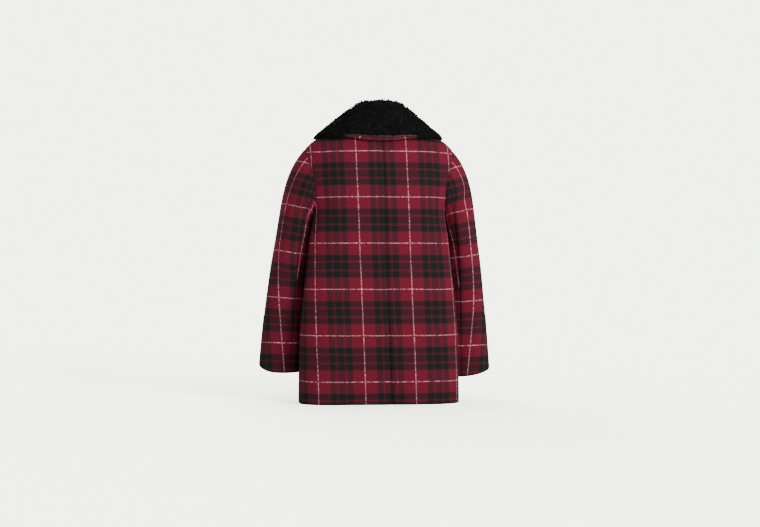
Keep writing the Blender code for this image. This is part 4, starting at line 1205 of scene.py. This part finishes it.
# The buttons: turned dark buttons on the right front, sewn on with crossed thread. The frame's own
# turned shapes stay and take a satin finish.
BUTTON_Z = (-0.292, -0.412, -0.532)
BUTTON_THICK = 0.0042
BUTTON_FACE_SHARE = 0.62
BUTTON_GAP = 0.0004
THREAD_RADIUS = 0.00045
THREAD_LENGTH = 0.00572
THREAD_UP = 0.0004
horn = mottled("dark button", 0.32, 180.0, 2.0, (0.006, 0.0055, 0.005, 1), (0.020, 0.016, 0.014, 1))
thread, thread_shader = new_material("button thread", 0.8)
thread_shader.inputs["Base Color"].default_value = (0.012, 0.011, 0.011, 1)
for number, z in enumerate(BUTTON_Z, start=1):
    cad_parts[f"button_{number}"].material_slots[0].material = horn
    place = level_point(np.array(0.0), np.array(z), False)
    normal = Vector(body_normal(place))
    turn = normal.to_track_quat("Z", "Y").to_matrix().to_4x4()
    face = Matrix.Translation(Vector(place) + normal * (BUTTON_GAP + BUTTON_THICK * BUTTON_FACE_SHARE)) @ turn
    strands = []
    for slant in (math.pi / 4, -math.pi / 4):
        bpy.ops.mesh.primitive_cylinder_add(vertices=8, radius=THREAD_RADIUS, depth=THREAD_LENGTH)
        strand = bpy.context.object
        strand.data.transform(Matrix.Rotation(slant, 4, "Z") @ Matrix.Rotation(math.pi / 2, 4, "Y"))
        strand.data.transform(face @ Matrix.Translation((0, 0, THREAD_UP)))
        strands.append(strand)
    bpy.ops.object.select_all(action="DESELECT")
    for strand in strands:
        strand.select_set(True)
    bpy.context.view_layer.objects.active = strands[0]
    bpy.ops.object.join()
    strands[0].name = f"button_thread_{number}"
    strands[0].data.materials.append(thread)
    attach(strands[0], "root")


# The buttonholes: one behind each button on the right front, each a ring worked round by hand
# in dark thread that stands up as a low cord.
HOLE_FROM_X = 0.004
HOLE_TO_X = -0.023
HOLE_HALF_HEIGHT = 0.0013
HOLE_CORD_RADIUS = 0.0007
HOLE_POINTS = 49
HOLE_CORD_SIDES = 8
for number, z in enumerate(BUTTON_Z, start=1):
    turn = np.linspace(0, 2 * math.pi, HOLE_POINTS)
    across = (HOLE_FROM_X + HOLE_TO_X) / 2 + (HOLE_FROM_X - HOLE_TO_X) / 2 * np.cos(turn)
    line = level_point(across, z + HOLE_HALF_HEIGHT * np.sin(turn), False)
    cord = tube(line, body_normal(line), HOLE_CORD_RADIUS, HOLE_CORD_SIDES)
    buttonhole = closed_loft(f"buttonhole_{number}", cord, thread)
    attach(buttonhole, "root")


# The studio: a plain pale floor just under the hem, a pale wall of light all round, one large soft
# lamp on the camera's side, a weaker one opposite, and the camera behind the coat.
FLOOR_Z = HEM_Z - 0.001
FLOOR_SIZE = 14
CAMERA_TURN = math.radians(7.0)
CAMERA_AWAY = 4.2
CAMERA_Z = -0.358
CAMERA_LENS = 75
CAMERA_SHIFT = 1.5 / 760
bpy.ops.object.select_all(action="DESELECT")
bpy.ops.mesh.primitive_plane_add(size=FLOOR_SIZE, location=(0, 0, FLOOR_Z))
floor = bpy.context.object
floor.name = "floor"
paper, paper_shader = new_material("pale floor", 0.95)
paper_shader.inputs["Base Color"].default_value = (0.84, 0.85, 0.84, 1)
floor.data.materials.append(paper)
floor.is_shadow_catcher = True

world = bpy.data.worlds.new("studio")
world.use_nodes = True
Shade.tree = world.node_tree
room = Shade.node("ShaderNodeBackground", {}, {"Color": (0.55, 0.56, 0.56, 1)})
backdrop = Shade.node("ShaderNodeBackground", {}, {"Color": (5.1, 5.5, 4.7, 1)})
seen = Shade.node("ShaderNodeLightPath", {}, {})
both = Shade.node("ShaderNodeMixShader", {}, {0: seen, 1: room, 2: backdrop})
world.node_tree.links.new(both.socket, world.node_tree.nodes["World Output"].inputs["Surface"])
bpy.context.scene.world = world


def soft_light(name, place, aim, size, power):
    lamp = bpy.data.lights.new(name, "AREA")
    lamp.shape = "DISK"
    lamp.size = size
    lamp.energy = power
    made = bpy.data.objects.new(name, lamp)
    made.location = place
    made.rotation_euler = (Vector(aim) - Vector(place)).to_track_quat("-Z", "Y").to_euler()
    bpy.context.scene.collection.objects.link(made)


soft_light("key", (-1.5, 2.4, 0.7), aim=(0, 0, -0.40), size=1.2, power=49)
soft_light("fill", (0.6, -2.6, 1.2), aim=(0, 0, -0.35), size=2.0, power=30)

camera = bpy.data.objects.new("camera", bpy.data.cameras.new("camera"))
towards = Vector((math.sin(CAMERA_TURN), math.cos(CAMERA_TURN), 0))
camera.location = towards * CAMERA_AWAY + Vector((0, 0, CAMERA_Z))
camera.rotation_euler = towards.to_track_quat("Z", "Y").to_euler()
camera.data.lens = CAMERA_LENS
camera.data.sensor_width = 36
camera.data.shift_x = CAMERA_SHIFT
camera.data.clip_end = 50
bpy.context.scene.collection.objects.link(camera)
bpy.context.scene.camera = camera
